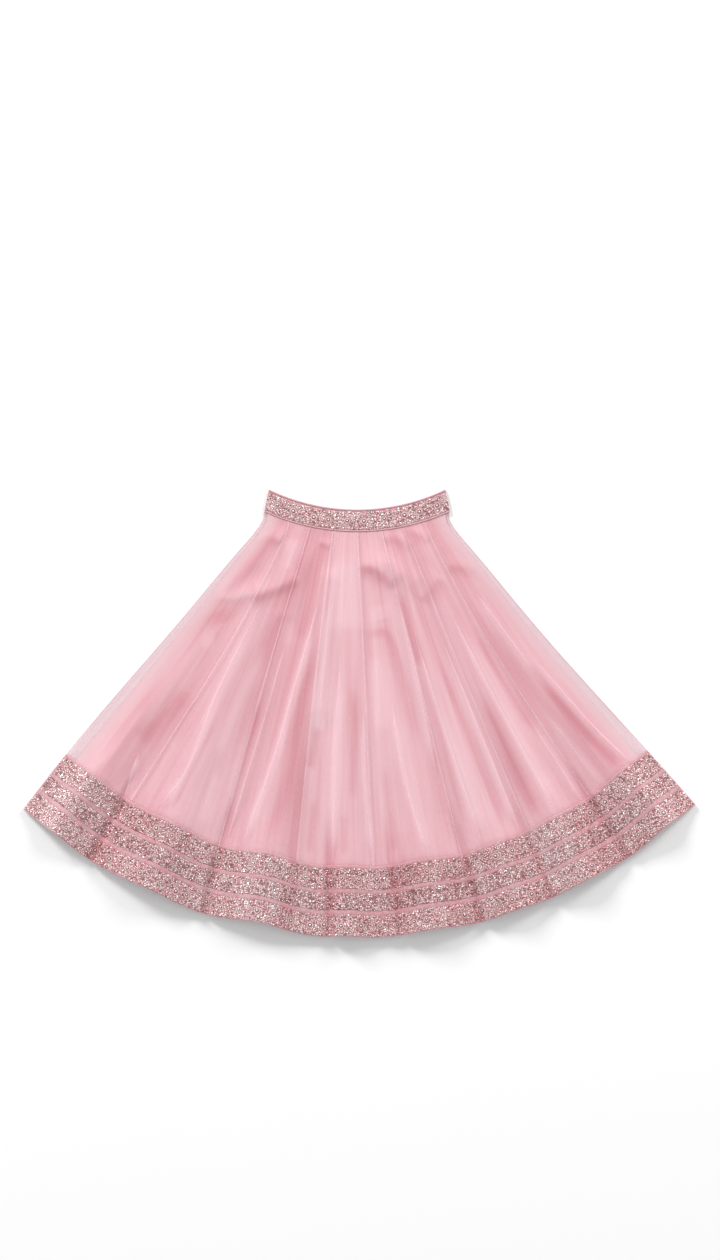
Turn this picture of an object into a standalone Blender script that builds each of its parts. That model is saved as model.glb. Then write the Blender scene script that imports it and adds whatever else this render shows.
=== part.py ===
"""A lehenga skirt laid flat: sixteen net panels over a plain lining.

The skirt lies on a table, seen from above with the waist at +Y and the hem at -Y.
Its outer layer is eight flared panels in front and eight behind, its lining lies
between them, and a three-band border runs round the hem.

All pieces are laid out in one pair of coordinates. "across" counts the panels from
the left side seam (0) to the right one (8). "down" is 0 at the waist seam, 1 at the
top of the border and 2 at the hem. Lengths are in metres.
"""

import math

import bmesh
import bpy

# Layout of the fan. The side seams meet near the apex, which is the plan's origin.
PANELS = 8
WAIST_CENTRE_Y = 0.221
WAIST_RADIUS = 0.537
HEM_RADIUS = 1.2805
HEM_RADIUS_LOSS_AT_SIDE = 0.026
HEM_SIDE_DEG = 40.0
BORDER_WIDTH = 0.169

# Waistband, from its top edge down to the waist seam.
BAND_TOP_RADIUS = 0.4835
BAND_TOP_HALF_DEG = 25.6
BAND_FOOT_HALF_DEG = 24.2
WAIST_BINDING_WIDTH = 0.0045
WAIST_TAPE_WIDTH = 0.0035

# Cloth thicknesses and the clearance between touching pieces.
GAP = 0.0003
NET_THICK = 0.0012
LINING_THICK = 0.0010
BAND_THICK = 0.0020
RIBBON_THICK = 0.0016
WAISTBAND_THICK = 0.0024
BORDER_LIFT = BAND_THICK + GAP
STACK_THICK = 2 * (LINING_THICK + GAP)

# Grid of the cloth: columns in one panel, rows above the border.
FRONT_COLUMNS = 7
BACK_COLUMNS = 3
LINING_COLUMNS = 34
BODY_ROWS = 8
WAIST_COLUMNS = 24
CURVE_COLUMNS_BACK = PANELS * BACK_COLUMNS
CURVE_COLUMNS_FRONT = PANELS * FRONT_COLUMNS

# The lining is narrower than the net: it stops short of both side seams and the hem.
LINING_LEFT = 1 / FRONT_COLUMNS
LINING_RIGHT = PANELS - 1 / FRONT_COLUMNS
LINING_ABOVE_HEM = 0.025
LINING_FOLD_SHARE = 0.7

# Heights of the folds die away near the side seams and the waist.
SIDE_FADE = 0.085
WAIST_FADE = 0.080
CROWN_HEIGHT = 0.003

# Panel seams, left to right: angle of the top end about the waist's centre, angle of
# the hem end about the apex, two sideways bows of the seam (+ to the right) and a
# curve at the hip, which is widest at this part of the seam's length.
HIP_ALONG = 0.055
SEAM_COLUMNS = ("waist_deg", "hem_deg", "bow", "s_bow", "hip")
SEAM_ROWS = (
    (-24.4, -39.1, 0.005, 0.007, 0.014),
    (-17.5, -29.6, 0.020, 0.008, 0.004),
    (-12.0, -16.9, -0.005, 0.000, 0.000),
    (-6.2, -7.1, -0.005, 0.000, 0.000),
    (0.1, 2.1, 0.000, 0.000, 0.000),
    (6.2, 13.0, 0.000, 0.000, 0.000),
    (11.7, 22.0, -0.005, 0.000, 0.000),
    (17.4, 30.7, -0.022, -0.005, -0.004),
    (24.0, 39.8, -0.019, -0.005, -0.014),
)

# Folds of the front as soft ridges: both ends by angle and radius about the apex, with
# the half width and the height at each end, and how far the fold draws the hem in.
FOLD_COLUMNS = ("deg_0", "radius_0", "deg_1", "radius_1",
                "width_0", "width_1", "height_0", "height_1", "draw_in")
FOLD_ROWS = (
    (-33.4, 0.66, -34.8, 1.30, 0.030, 0.062, 0.000, 0.014, 0.0055),
    (-25.3, 0.46, -23.3, 1.30, 0.030, 0.085, 0.002, 0.019, 0.0090),
    (-9.5, 0.44, -10.6, 1.30, 0.024, 0.080, 0.002, 0.017, 0.0160),
    (-3.2, 0.62, -1.0, 1.30, 0.024, 0.046, 0.000, 0.013, 0.0055),
    (5.0, 0.56, 8.0, 1.30, 0.026, 0.074, 0.001, 0.016, 0.0085),
    (15.0, 0.60, 17.4, 1.30, 0.026, 0.058, 0.001, 0.014, 0.0055),
    (23.5, 0.55, 25.2, 1.30, 0.026, 0.066, 0.001, 0.016, 0.0055),
    (32.5, 0.60, 35.8, 1.30, 0.026, 0.062, 0.001, 0.013, 0.0085),
    (-35.0, 0.56, -28.0, 0.52, 0.026, 0.026, 0.003, 0.003, 0.0000),
    (-8.2, 0.43, -6.8, 0.74, 0.024, 0.030, 0.003, 0.003, 0.0000),
    (17.0, 0.45, 10.0, 0.40, 0.024, 0.024, 0.003, 0.003, 0.0000),
)

# Border strips, top to bottom: name, width and whether it is an embroidered band.
STRIP_COLUMNS = ("name", "width", "embroidered")
STRIP_ROWS = (
    ("border_binding", 0.0080, False),
    ("border_band_upper", 0.0470, True),
    ("border_ribbon_upper", 0.0120, False),
    ("border_band_middle", 0.0380, True),
    ("border_ribbon_lower", 0.0130, False),
    ("border_band_lower", 0.0475, True),
    ("hem_binding", 0.0035, False),
)

# Colours, linear RGB, with roughness.
MATERIAL_COLUMNS = ("name", "colour", "roughness")
MATERIAL_ROWS = (
    ("rose_net", (0.78, 0.50, 0.55), 0.65),
    ("rose_satin_lining", (0.80, 0.46, 0.51), 0.45),
    ("rose_satin_ribbon", (0.70, 0.34, 0.40), 0.40),
    ("beaded_net", (0.55, 0.37, 0.39), 0.35),
)


def rows_as_dicts(columns, rows):
    """Give each row of a table its column names."""
    return [dict(zip(columns, row)) for row in rows]


SEAMS = rows_as_dicts(SEAM_COLUMNS, SEAM_ROWS)
FOLDS = rows_as_dicts(FOLD_COLUMNS, FOLD_ROWS)
STRIPS = rows_as_dicts(STRIP_COLUMNS, STRIP_ROWS)


def clamp(value, low=0.0, high=1.0):
    return max(low, min(high, value))


def smooth(value):
    """Ease from 0 to 1."""
    t = clamp(value)
    return t * t * (3 - 2 * t)


def lerp(a, b, t):
    return a + (b - a) * t


def polar(radius, degrees, centre_y=0.0):
    """Plan point at an angle from straight down, + to the right."""
    angle = math.radians(degrees)
    return radius * math.sin(angle), centre_y - radius * math.cos(angle)


def seam_value(across, column):
    """A seam table column, read between two seams."""
    left = int(clamp(math.floor(across), 0, PANELS - 1))
    return lerp(SEAMS[left][column], SEAMS[left + 1][column], across - left)


def hem_radius(degrees):
    """Radius of the hem, which each long fold draws in a little as it rises."""
    drawn_in = 0
    for fold in FOLDS:
        half_deg = math.degrees(fold["width_1"] / HEM_RADIUS)
        from_fold = (degrees - fold["deg_1"]) / half_deg
        drawn_in += fold["draw_in"] * math.exp(-from_fold ** 2)
    side_loss = HEM_RADIUS_LOSS_AT_SIDE * (degrees / HEM_SIDE_DEG) ** 2
    return HEM_RADIUS - side_loss - drawn_in


def plan_point(across, down):
    """Plan position of a point of the skirt."""
    waist = polar(WAIST_RADIUS, seam_value(across, "waist_deg"), WAIST_CENTRE_Y)
    hem_deg = seam_value(across, "hem_deg")
    hem = polar(hem_radius(hem_deg), hem_deg)
    length = math.dist(waist, hem)
    border_start = 1 - BORDER_WIDTH / length
    if down <= 1:
        along = down * border_start
    else:
        along = lerp(border_start, 1, down - 1)
    bow = seam_value(across, "bow") * math.sin(math.pi * along)
    bow += seam_value(across, "s_bow") * math.sin(2 * math.pi * along)
    from_waist = along / HIP_ALONG
    bow += seam_value(across, "hip") * from_waist * math.exp(1 - from_waist)
    return lerp(waist[0], hem[0], along) + bow, lerp(waist[1], hem[1], along)


def panel_width(across, down):
    """Width of the panel that holds this place."""
    left = int(clamp(math.floor(across), 0, PANELS - 1))
    return math.dist(plan_point(left, down), plan_point(left + 1, down))


def ridge(x, y, fold):
    """Height of one fold above the laid cloth."""
    x0, y0 = polar(fold["radius_0"], fold["deg_0"])
    x1, y1 = polar(fold["radius_1"], fold["deg_1"])
    run = (x1 - x0) ** 2 + (y1 - y0) ** 2
    along = clamp(((x - x0) * (x1 - x0) + (y - y0) * (y1 - y0)) / run)
    distance = math.dist((x, y), (lerp(x0, x1, along), lerp(y0, y1, along)))
    width = lerp(fold["width_0"], fold["width_1"], along)
    height = lerp(fold["height_0"], fold["height_1"], along)
    return height * math.exp(-(distance / width) ** 2)


def fold_height(across, down):
    """Height that the folds add to the front at this place."""
    x, y = plan_point(across, down)
    from_side = min(across, PANELS - across) * panel_width(across, down)
    from_waist = math.dist((x, y), plan_point(across, 0))
    fade = smooth(from_side / SIDE_FADE) * smooth(from_waist / WAIST_FADE)
    return fade * (CROWN_HEIGHT + sum(ridge(x, y, fold) for fold in FOLDS))


def back_net_base(across, down):
    """Underside of the back net: on the table, then up onto the border's bands."""
    last_row = 1 / BODY_ROWS
    return BORDER_LIFT * clamp((down - 1 + last_row) / last_row)


def lining_back_base(across, down):
    return back_net_base(across, down) + NET_THICK + GAP


def lining_front_base(across, down):
    below = lining_back_base(across, down) + LINING_THICK + GAP
    return below + LINING_FOLD_SHARE * fold_height(across, down)


def front_net_base(across, down):
    """Underside of the front net: over the lining, then down onto the back at the sides."""
    left_rise = across / LINING_LEFT
    right_rise = (PANELS - across) / (PANELS - LINING_RIGHT)
    over_lining = STACK_THICK * clamp(min(left_rise, right_rise))
    back_top = lining_back_base(across, down)
    return back_top + over_lining + fold_height(across, down)


def front_trim_base(across, down):
    """What is sewn on the front net lies just above it."""
    return front_net_base(across, down) + NET_THICK + GAP


def level_base(height):
    """A piece that lies level at one height."""
    return lambda across, down: height


def waistband_point(across, down):
    """Plan position on the waistband: across 0 to 1, down 0 to 1."""
    half = lerp(BAND_TOP_HALF_DEG, BAND_FOOT_HALF_DEG, down)
    radius = lerp(BAND_TOP_RADIUS, WAIST_RADIUS, down)
    return polar(radius, lerp(-half, half, across), WAIST_CENTRE_Y)


def spread(start, end, count):
    """Evenly spaced values from start to end."""
    return [lerp(start, end, i / count) for i in range(count + 1)]


def cloth(name, material, thickness, acrosses, downs, point, base):
    """A wall of cloth: a grid laid out on the plan, raised to its base, then thickened."""
    mesh = bpy.data.meshes.new(name)
    body = bmesh.new()
    columns, rows = len(acrosses) - 1, len(downs) - 1
    grid = bmesh.ops.create_grid(body, x_segments=columns, y_segments=rows, size=0.5)
    for vert in grid["verts"]:
        column = round((vert.co.x + 0.5) * columns)
        row = round((0.5 - vert.co.y) * rows)
        across, down = acrosses[column], downs[row]
        place = across(down) if callable(across) else across
        x, y = point(place, down)
        vert.co = (x, y, base(place, down))
    bmesh.ops.triangulate(body, faces=body.faces[:], quad_method="FIXED")
    raised = bmesh.ops.extrude_face_region(body, geom=body.faces[:], use_keep_orig=True)
    tops = [item for item in raised["geom"] if isinstance(item, bmesh.types.BMVert)]
    bmesh.ops.translate(body, verts=tops, vec=(0, 0, thickness))
    bmesh.ops.recalc_face_normals(body, faces=body.faces[:])
    body.to_mesh(mesh)
    body.free()
    mesh.shade_smooth()
    mesh.set_sharp_from_angle(angle=math.radians(40))
    mesh.materials.append(material)
    return bpy.data.objects.new(name, mesh)


def seam_edge(seam, side):
    """The edge of a panel: its seam line, moved half a gap into the panel."""
    def place(down):
        inside = seam + 0.5 * side
        return seam + side * 0.5 * GAP / panel_width(inside, down)
    return place


def body_downs():
    """Rows from the waist seam to the top of the border, one of them at the hip."""
    waist_trim = 0.5 * GAP / (HEM_RADIUS - WAIST_RADIUS)
    return [waist_trim, HIP_ALONG] + spread(0, 1, BODY_ROWS)[1:]


def strip_edges():
    """Down values where one border strip meets the next."""
    edges = [1.0]
    for strip in STRIPS:
        edges.append(edges[-1] + strip["width"] / BORDER_WIDTH)
    edges[-1] = 2.0
    return edges


def make_panels(side, columns, downs, base, material):
    """Eight flared panels of one side of the skirt."""
    panels = []
    for number in range(PANELS):
        inner = spread(number, number + 1, columns)[1:-1]
        acrosses = [seam_edge(number, 1)] + inner + [seam_edge(number + 1, -1)]
        name = f"kali_{side}_{number + 1}"
        panels.append(cloth(name, material, NET_THICK, acrosses, downs, plan_point, base))
    return panels


def make_lining(name, material, columns, downs, base):
    """One face of the lining, in one piece from side to side."""
    acrosses = spread(LINING_LEFT, LINING_RIGHT, columns)
    return cloth(name, material, LINING_THICK, acrosses, downs, plan_point, base)


def make_border(side, columns, band_base, ribbon_base, materials):
    """The border's strips on one side of the skirt."""
    pieces = []
    edges = strip_edges()
    trim = 0.5 * GAP / BORDER_WIDTH
    acrosses = spread(0, PANELS, columns)
    for strip, top, foot in zip(STRIPS, edges, edges[1:]):
        downs = [top + trim, foot if foot == edges[-1] else foot - trim]
        banded = strip["embroidered"]
        cloth_name = "beaded_net" if banded else "rose_satin_ribbon"
        thickness = BAND_THICK if banded else RIBBON_THICK
        base = band_base if banded else ribbon_base
        pieces.append(cloth(f"{strip['name']}_{side}", materials[cloth_name], thickness,
                            acrosses, downs, plan_point, base))
    return pieces


def make_waist(side, base_height, materials):
    """Top binding, embroidered band and lower tape of one side of the waist."""
    height = WAIST_RADIUS - BAND_TOP_RADIUS
    binding_foot = WAIST_BINDING_WIDTH / height
    tape_top = 1 - WAIST_TAPE_WIDTH / height
    trim = 0.5 * GAP / height
    acrosses = spread(0, 1, WAIST_COLUMNS)
    base = level_base(base_height)
    satin = materials["rose_satin_ribbon"]
    beaded = materials["beaded_net"]
    band_downs = spread(binding_foot + trim, tape_top - trim, 2)
    return [
        cloth(f"waist_binding_{side}", satin, WAISTBAND_THICK, acrosses,
              [0, binding_foot - trim], waistband_point, base),
        cloth(f"waistband_{side}", beaded, WAISTBAND_THICK, acrosses,
              band_downs, waistband_point, base),
        cloth(f"waist_tape_{side}", satin, WAISTBAND_THICK, acrosses,
              [tape_top + trim, 1 - trim], waistband_point, base),
    ]


def make_materials():
    """One Principled material for each cloth."""
    made = {}
    for row in rows_as_dicts(MATERIAL_COLUMNS, MATERIAL_ROWS):
        material = bpy.data.materials.new(row["name"])
        material.use_nodes = True
        shader = material.node_tree.nodes["Principled BSDF"]
        shader.inputs["Base Color"].default_value = (*row["colour"], 1)
        shader.inputs["Roughness"].default_value = row["roughness"]
        shader.inputs["Metallic"].default_value = 0
        material.diffuse_color = (*row["colour"], 1)
        made[row["name"]] = material
    return made


def centre_on_origin(pieces):
    """Move the skirt so that the middle of its outline is at x = y = 0."""
    points = [vert.co for piece in pieces for vert in piece.data.vertices]
    middle_x = (min(p.x for p in points) + max(p.x for p in points)) / 2
    middle_y = (min(p.y for p in points) + max(p.y for p in points)) / 2
    for piece in pieces:
        piece.location = (-middle_x, -middle_y, 0)


def build_skirt():
    materials = make_materials()
    net = materials["rose_net"]
    satin = materials["rose_satin_lining"]
    body = body_downs()
    border = strip_edges()[1:]
    lining_foot = 2 - LINING_ABOVE_HEM / BORDER_WIDTH
    lining_downs = body + [1.3, 1.6, lining_foot]
    waist_front = WAISTBAND_THICK + GAP

    pieces = make_panels("back", BACK_COLUMNS, body + [1.5, 2.0], back_net_base, net)
    pieces += make_panels("front", FRONT_COLUMNS, body + border, front_net_base, net)
    pieces.append(make_lining("lining_back", satin, CURVE_COLUMNS_BACK, lining_downs,
                              lining_back_base))
    pieces.append(make_lining("lining_front", satin, LINING_COLUMNS, lining_downs,
                              lining_front_base))
    pieces += make_border("back", CURVE_COLUMNS_BACK, level_base(0.0),
                          level_base(BAND_THICK - RIBBON_THICK), materials)
    pieces += make_border("front", CURVE_COLUMNS_FRONT, front_trim_base,
                          front_trim_base, materials)
    pieces += make_waist("back", 0.0, materials)
    pieces += make_waist("front", waist_front, materials)
    centre_on_origin(pieces)
    return pieces


def main():
    for old in list(bpy.data.objects):
        bpy.data.objects.remove(old)
    collection = bpy.data.collections.new("lehenga_skirt")
    bpy.context.scene.collection.children.link(collection)
    for piece in build_skirt():
        collection.objects.link(piece)


main()
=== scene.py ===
"""Looks of a lehenga skirt laid flat: net panels over a satin lining, and a beaded border.

Places are given in two numbers, as on a pattern. "across" counts the flared panels
from the left side seam (0) to the right one (8). "down" is 0 at the waist seam, 1 at
the top of the border and 2 at the hem. Lengths are in metres.
"""

import math

import bpy
import numpy as np
from bpy.props import FloatProperty, FloatVectorProperty, IntProperty, PointerProperty
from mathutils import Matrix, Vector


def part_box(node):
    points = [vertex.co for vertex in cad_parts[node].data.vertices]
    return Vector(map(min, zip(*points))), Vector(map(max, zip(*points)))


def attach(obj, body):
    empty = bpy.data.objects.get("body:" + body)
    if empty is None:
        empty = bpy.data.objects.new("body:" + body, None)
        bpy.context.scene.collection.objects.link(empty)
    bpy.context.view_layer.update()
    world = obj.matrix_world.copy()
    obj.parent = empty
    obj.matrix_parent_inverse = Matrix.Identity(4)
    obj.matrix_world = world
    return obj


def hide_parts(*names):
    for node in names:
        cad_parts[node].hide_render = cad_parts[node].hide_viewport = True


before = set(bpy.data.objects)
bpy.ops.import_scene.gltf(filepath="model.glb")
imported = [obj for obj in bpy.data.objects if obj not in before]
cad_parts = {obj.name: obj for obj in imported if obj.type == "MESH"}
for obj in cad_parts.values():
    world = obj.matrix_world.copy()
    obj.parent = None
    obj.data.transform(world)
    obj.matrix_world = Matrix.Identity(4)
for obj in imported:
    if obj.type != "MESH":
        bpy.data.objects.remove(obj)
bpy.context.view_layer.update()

bl_info = {
    "name": "Lehenga Skirt",
    "version": (1, 0, 0),
    "blender": (4, 5, 0),
    "location": "3D View > Sidebar > Skirt",
    "description": "Builds the cloth, trims, beads and studio of a lehenga skirt laid flat",
    "category": "Object",
}

# Layout of the fan, in the same sizes as the skirt's solids.
PANELS = 8
WAIST_CENTRE_Y = 0.221
WAIST_RADIUS = 0.537
HEM_RADIUS = 1.2805
HEM_RADIUS_LOSS_AT_SIDE = 0.026
HEM_SIDE_DEG = 40.0
BORDER_WIDTH = 0.169
BAND_TOP_RADIUS = 0.4835
BAND_TOP_HALF_DEG = 25.6
BAND_FOOT_HALF_DEG = 24.2
WAIST_HEIGHT = WAIST_RADIUS - BAND_TOP_RADIUS
WAIST_BINDING_WIDTH = 0.0045
WAIST_TAPE_WIDTH = 0.0035

# The plan's origin, the apex of the fan, as it lies under the solids.
WAIST_LOW, WAIST_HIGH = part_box("waist_binding_front")
APEX_X = (WAIST_LOW[0] + WAIST_HIGH[0]) / 2
APEX_Y = WAIST_HIGH[1] + BAND_TOP_RADIUS * math.cos(math.radians(BAND_TOP_HALF_DEG)) - WAIST_CENTRE_Y

# Heights of the solids that the cloth stands in for.
GAP = 0.0003
NET_SOLID = 0.0012
LINING_SOLID = 0.0010
BAND_SOLID = 0.0020
RIBBON_SOLID = 0.0016
WAISTBAND_SOLID = 0.0024
BORDER_LIFT = BAND_SOLID + GAP
STACK_THICK = 2 * (LINING_SOLID + GAP)
BODY_ROWS = 8
LINING_LEFT = 1 / 7
LINING_RIGHT = PANELS - 1 / 7
LINING_ABOVE_HEM = 0.025
LINING_FOLD_SHARE = 0.7
CROWN_HEIGHT = 0.003

# How far from the side seams and the waist seam each layer's folds reach full height.
SIDE_FADE = 0.085
WAIST_FADE = 0.080
LINING_SIDE_FADE = 0.06
LINING_WAIST_FADE = 0.03
NET_SIDE_FADE = 0.03
NET_WAIST_FADE = 0.04
BORDER_SIDE_FADE = 0.05

# Down values where the net's creases and its tones start to give way to the border.
CREASES_END = 0.95
TONES_END = 0.97
BORDER_BLEND = 0.06

# The net's fine wrinkles grow from this share at the waist to full height further down.
WRINKLE_AT_WAIST = 0.35
WRINKLE_WAIST_RADIUS = 0.4
WRINKLE_GROWTH_RUN = 0.6
FINER_WRINKLE = 0.4
# How far below its own level the net may follow the lining.
NET_SINK = 0.0004
BORDER_RIPPLE = 0.0006

# Panel seams: angle of the top about the waist's centre and of the hem end about the
# apex, two sideways bows, and a curve at the hip.
HIP_ALONG = 0.055
SEAM_COLUMNS = ("waist_deg", "hem_deg", "bow", "s_bow", "hip")
SEAM_ROWS = (
    (-24.4, -39.1, 0.005, 0.007, 0.014),
    (-17.5, -29.6, 0.020, 0.008, 0.004),
    (-12.0, -16.9, -0.005, 0.000, 0.000),
    (-6.2, -7.1, -0.005, 0.000, 0.000),
    (0.1, 2.1, 0.000, 0.000, 0.000),
    (6.2, 13.0, 0.000, 0.000, 0.000),
    (11.7, 22.0, -0.005, 0.000, 0.000),
    (17.4, 30.7, -0.022, -0.005, -0.004),
    (24.0, 39.8, -0.019, -0.005, -0.014),
)

# Long folds of the front: both ends by angle and radius about the apex, half width and
# height at each end, and how far the fold draws the hem in.
FOLD_COLUMNS = ("deg_0", "radius_0", "deg_1", "radius_1",
                "width_0", "width_1", "height_0", "height_1", "draw_in")
FOLD_ROWS = (
    (-33.4, 0.66, -34.8, 1.30, 0.030, 0.062, 0.000, 0.014, 0.0055),
    (-25.3, 0.46, -23.3, 1.30, 0.030, 0.085, 0.002, 0.019, 0.0090),
    (-9.5, 0.44, -10.6, 1.30, 0.024, 0.080, 0.002, 0.017, 0.0160),
    (-3.2, 0.62, -1.0, 1.30, 0.024, 0.046, 0.000, 0.013, 0.0055),
    (5.0, 0.56, 8.0, 1.30, 0.026, 0.074, 0.001, 0.016, 0.0085),
    (15.0, 0.60, 17.4, 1.30, 0.026, 0.058, 0.001, 0.014, 0.0055),
    (23.5, 0.55, 25.2, 1.30, 0.026, 0.066, 0.001, 0.016, 0.0055),
    (32.5, 0.60, 35.8, 1.30, 0.026, 0.062, 0.001, 0.013, 0.0085),
    (-35.0, 0.56, -28.0, 0.52, 0.026, 0.026, 0.003, 0.003, 0.0000),
    (-8.2, 0.43, -6.8, 0.74, 0.024, 0.030, 0.003, 0.003, 0.0000),
    (17.0, 0.45, 10.0, 0.40, 0.024, 0.024, 0.003, 0.003, 0.0000),
)

# Border strips, top to bottom.
STRIP_COLUMNS = ("name", "width", "embroidered", "rosettes")
STRIP_ROWS = (
    ("border_binding", 0.0080, False, False),
    ("border_band_upper", 0.0470, True, True),
    ("border_ribbon_upper", 0.0120, False, False),
    ("border_band_middle", 0.0380, True, False),
    ("border_ribbon_lower", 0.0130, False, False),
    ("border_band_lower", 0.0475, True, True),
    ("hem_binding", 0.0035, False, False),
)

# Soft creases of the net. A path is two or more places by angle and radius about the
# apex, width is half the crease's, a minus height is a trough, and the lean makes one
# side steeper: with + it is the side to the right of the path. The tone says how pale
# (+) or deep (-) the layered cloth looks there: partly where the net bunches or parts,
# and partly painted highlight on a ridge and painted shade in a trough.
CREASE_COLUMNS = ("path", "width", "height", "lean", "tone")
NET_CREASE_ROWS = (
    (((-25.2, 0.53), (-25.5, 0.77), (-24.6, 0.96), (-25.8, 1.07)), 0.014, 0.0040, 0.4, 0.8),
    (((-19.8, 0.60), (-21.3, 0.78), (-21.4, 0.92)), 0.013, 0.0032, 0.3, 0.5),
    (((-20.4, 0.69), (-19.6, 0.555), (-19.2, 0.70)), 0.010, -0.0028, 0.0, -0.6),
    (((-23.3, 0.82), (-24.1, 1.07)), 0.007, -0.0038, -0.4, -0.7),
    (((-17.7, 0.74), (-17.4, 0.88), (-17.0, 1.09)), 0.007, -0.0045, 0.4, -0.9),
    (((-16.3, 0.62), (-16.2, 0.80), (-16.4, 1.08)), 0.011, 0.0042, -0.5, 0.6),
    (((-20.6, 0.94), (-20.2, 1.08)), 0.012, 0.0030, 0.4, 0.4),
    (((-27.2, 0.90), (-27.6, 1.08)), 0.010, 0.0030, -0.3, 0.3),
    (((-10.8, 0.50), (-12.3, 0.70), (-13.2, 0.90), (-14.5, 1.09)), 0.012, 0.0054, 0.4, 1.0),
    (((-9.0, 0.56), (-10.4, 0.72), (-10.4, 0.90), (-11.4, 1.09)), 0.017, -0.0048, 0.2, -0.8),
    (((-7.6, 0.46), (-6.9, 0.71), (-6.1, 0.80)), 0.009, 0.0042, -0.4, 0.8),
    (((-7.0, 0.78), (-7.2, 0.89)), 0.010, -0.0038, 0.0, -0.9),
    (((-6.2, 0.95), (-6.2, 1.09)), 0.009, -0.0034, 0.3, -0.6),
    (((-3.6, 0.62), (-3.6, 0.88), (-3.0, 1.09)), 0.011, 0.0046, 0.4, 0.8),
    (((-1.0, 0.68), (-0.5, 0.80), (-0.7, 0.97)), 0.012, -0.0036, 0.3, -0.6),
    (((-1.9, 0.98), (-1.7, 1.09)), 0.010, -0.0030, 0.2, -0.5),
    (((1.1, 0.74), (1.3, 0.90), (1.9, 1.09)), 0.008, 0.0040, -0.4, 0.8),
    (((1.7, 0.575), (4.8, 0.555), (8.0, 0.575), (9.8, 0.70), (10.2, 0.86)), 0.013, -0.0032, -0.4, -0.7),
    (((3.2, 0.60), (3.9, 0.80)), 0.018, 0.0034, 0.3, 0.5),
    (((6.4, 0.72), (7.2, 0.92), (8.8, 1.10)), 0.012, 0.0046, 0.5, 0.8),
    (((4.2, 0.86), (4.7, 1.09)), 0.010, -0.0038, 0.0, -0.6),
    (((11.1, 0.47), (12.0, 0.66), (11.9, 0.90)), 0.009, 0.0040, -0.4, 0.8),
    (((12.2, 0.46), (13.2, 0.66)), 0.009, -0.0036, 0.2, -0.8),
    (((-30.5, 0.79), (-31.4, 0.88), (-33.1, 0.97)), 0.025, -0.0046, 0.4, -0.7),
    (((-33.4, 0.60), (-30.6, 0.62)), 0.030, -0.0020, 0.0, -0.6),
    (((-35.8, 0.575), (-31.8, 0.555), (-27.8, 0.52)), 0.012, 0.0034, 0.5, 0.7),
    (((-32.6, 0.69), (-30.2, 0.67)), 0.018, 0.0022, 0.3, 0.4),
    (((-31.6, 0.99), (-30.2, 1.10)), 0.008, 0.0040, 0.6, 0.9),
    (((-36.2, 0.70), (-36.8, 1.09)), 0.010, 0.0028, 0.3, 0.2),
    (((-34.6, 0.88), (-34.9, 1.08)), 0.013, 0.0024, -0.3, 0.3),
    (((13.8, 0.58), (14.8, 0.84), (15.7, 1.09)), 0.013, 0.0046, 0.5, 0.8),
    (((17.2, 0.62), (18.4, 0.86), (19.0, 1.09)), 0.013, -0.0044, 0.3, -0.8),
    (((19.4, 0.60), (20.3, 0.88), (20.6, 1.09)), 0.010, 0.0042, -0.5, 0.8),
    (((22.6, 0.74), (23.2, 1.09)), 0.012, -0.0042, 0.2, -0.8),
    (((23.6, 0.56), (24.8, 0.82), (25.8, 1.09)), 0.013, 0.0046, 0.4, 0.9),
    (((26.4, 0.60), (28.0, 0.90)), 0.013, -0.0040, 0.3, -0.7),
    (((28.3, 0.88), (29.2, 1.09)), 0.010, 0.0040, -0.4, 0.7),
    (((31.0, 0.88), (32.2, 1.09)), 0.009, 0.0036, 0.5, 0.7),
    (((31.4, 0.54), (33.0, 0.78)), 0.012, 0.0036, -0.3, 0.6),
    (((32.8, 0.78), (34.2, 0.94), (35.4, 1.09)), 0.013, -0.0052, 0.3, -1.0),
    (((34.3, 0.76), (35.6, 0.94), (37.0, 1.09)), 0.008, 0.0038, -0.5, 0.6),
    (((-24.4, 0.36), (-22.0, 0.44)), 0.016, 0.0020, 0.0, 0.5),
    (((-13.6, 0.36), (-13.6, 0.60)), 0.024, -0.0016, 0.0, -0.45),
    (((-16.6, 0.44), (-15.4, 0.62)), 0.016, 0.0020, 0.2, 0.3),
    (((-3.2, 0.36), (-3.0, 0.56)), 0.050, 0.0010, 0.0, 0.5),
    (((5.6, 0.49), (6.4, 0.53)), 0.026, 0.0014, 0.0, 0.4),
)

# Creases of the lining; their tone sets the painted shadow band under each fold, which shows through the
# net.
LINING_CREASE_ROWS = (
    (((-0.4, 0.398), (4.8, 0.401), (8.0, 0.418), (12.0, 0.460)), 0.026, 0.0028, 0.35, -1.10),
    (((-29.0, 0.540), (-23.4, 0.492), (-17.6, 0.442)), 0.022, 0.0024, 0.35, -0.80),
    (((-36.4, 0.420), (-32.6, 0.388), (-27.0, 0.384)), 0.020, 0.0022, 0.35, -0.70),
    (((-32.9, 0.380), (-32.3, 0.470), (-35.8, 0.560)), 0.019, 0.0022, -0.30, -0.75),
    (((9.4, 0.342), (15.2, 0.338), (19.8, 0.384)), 0.017, 0.0014, 0.30, -0.48),
    (((19.4, 0.330), (24.0, 0.346), (27.4, 0.384)), 0.016, 0.0014, 0.30, -0.42),
    (((-15.4, 0.352), (-9.6, 0.357)), 0.009, 0.0012, 0.30, -0.50),
    (((-18.2, 0.380), (-16.6, 0.560)), 0.016, 0.0018, -0.40, -0.35),
    (((16.6, 0.505), (20.6, 0.484), (25.6, 0.462)), 0.021, 0.0014, 0.30, -0.38),
    (((27.6, 0.446), (31.6, 0.466), (35.6, 0.500)), 0.020, 0.0014, 0.30, -0.36),
)

# Shares of a crease's path, and of a lining fold's painted shadow band, over which they fade in and out.
CREASE_START_FADE = 0.25
CREASE_END_FADE = 0.15
SHADE_START_FADE = 0.2
SHADE_END_FADE = 0.3
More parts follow.
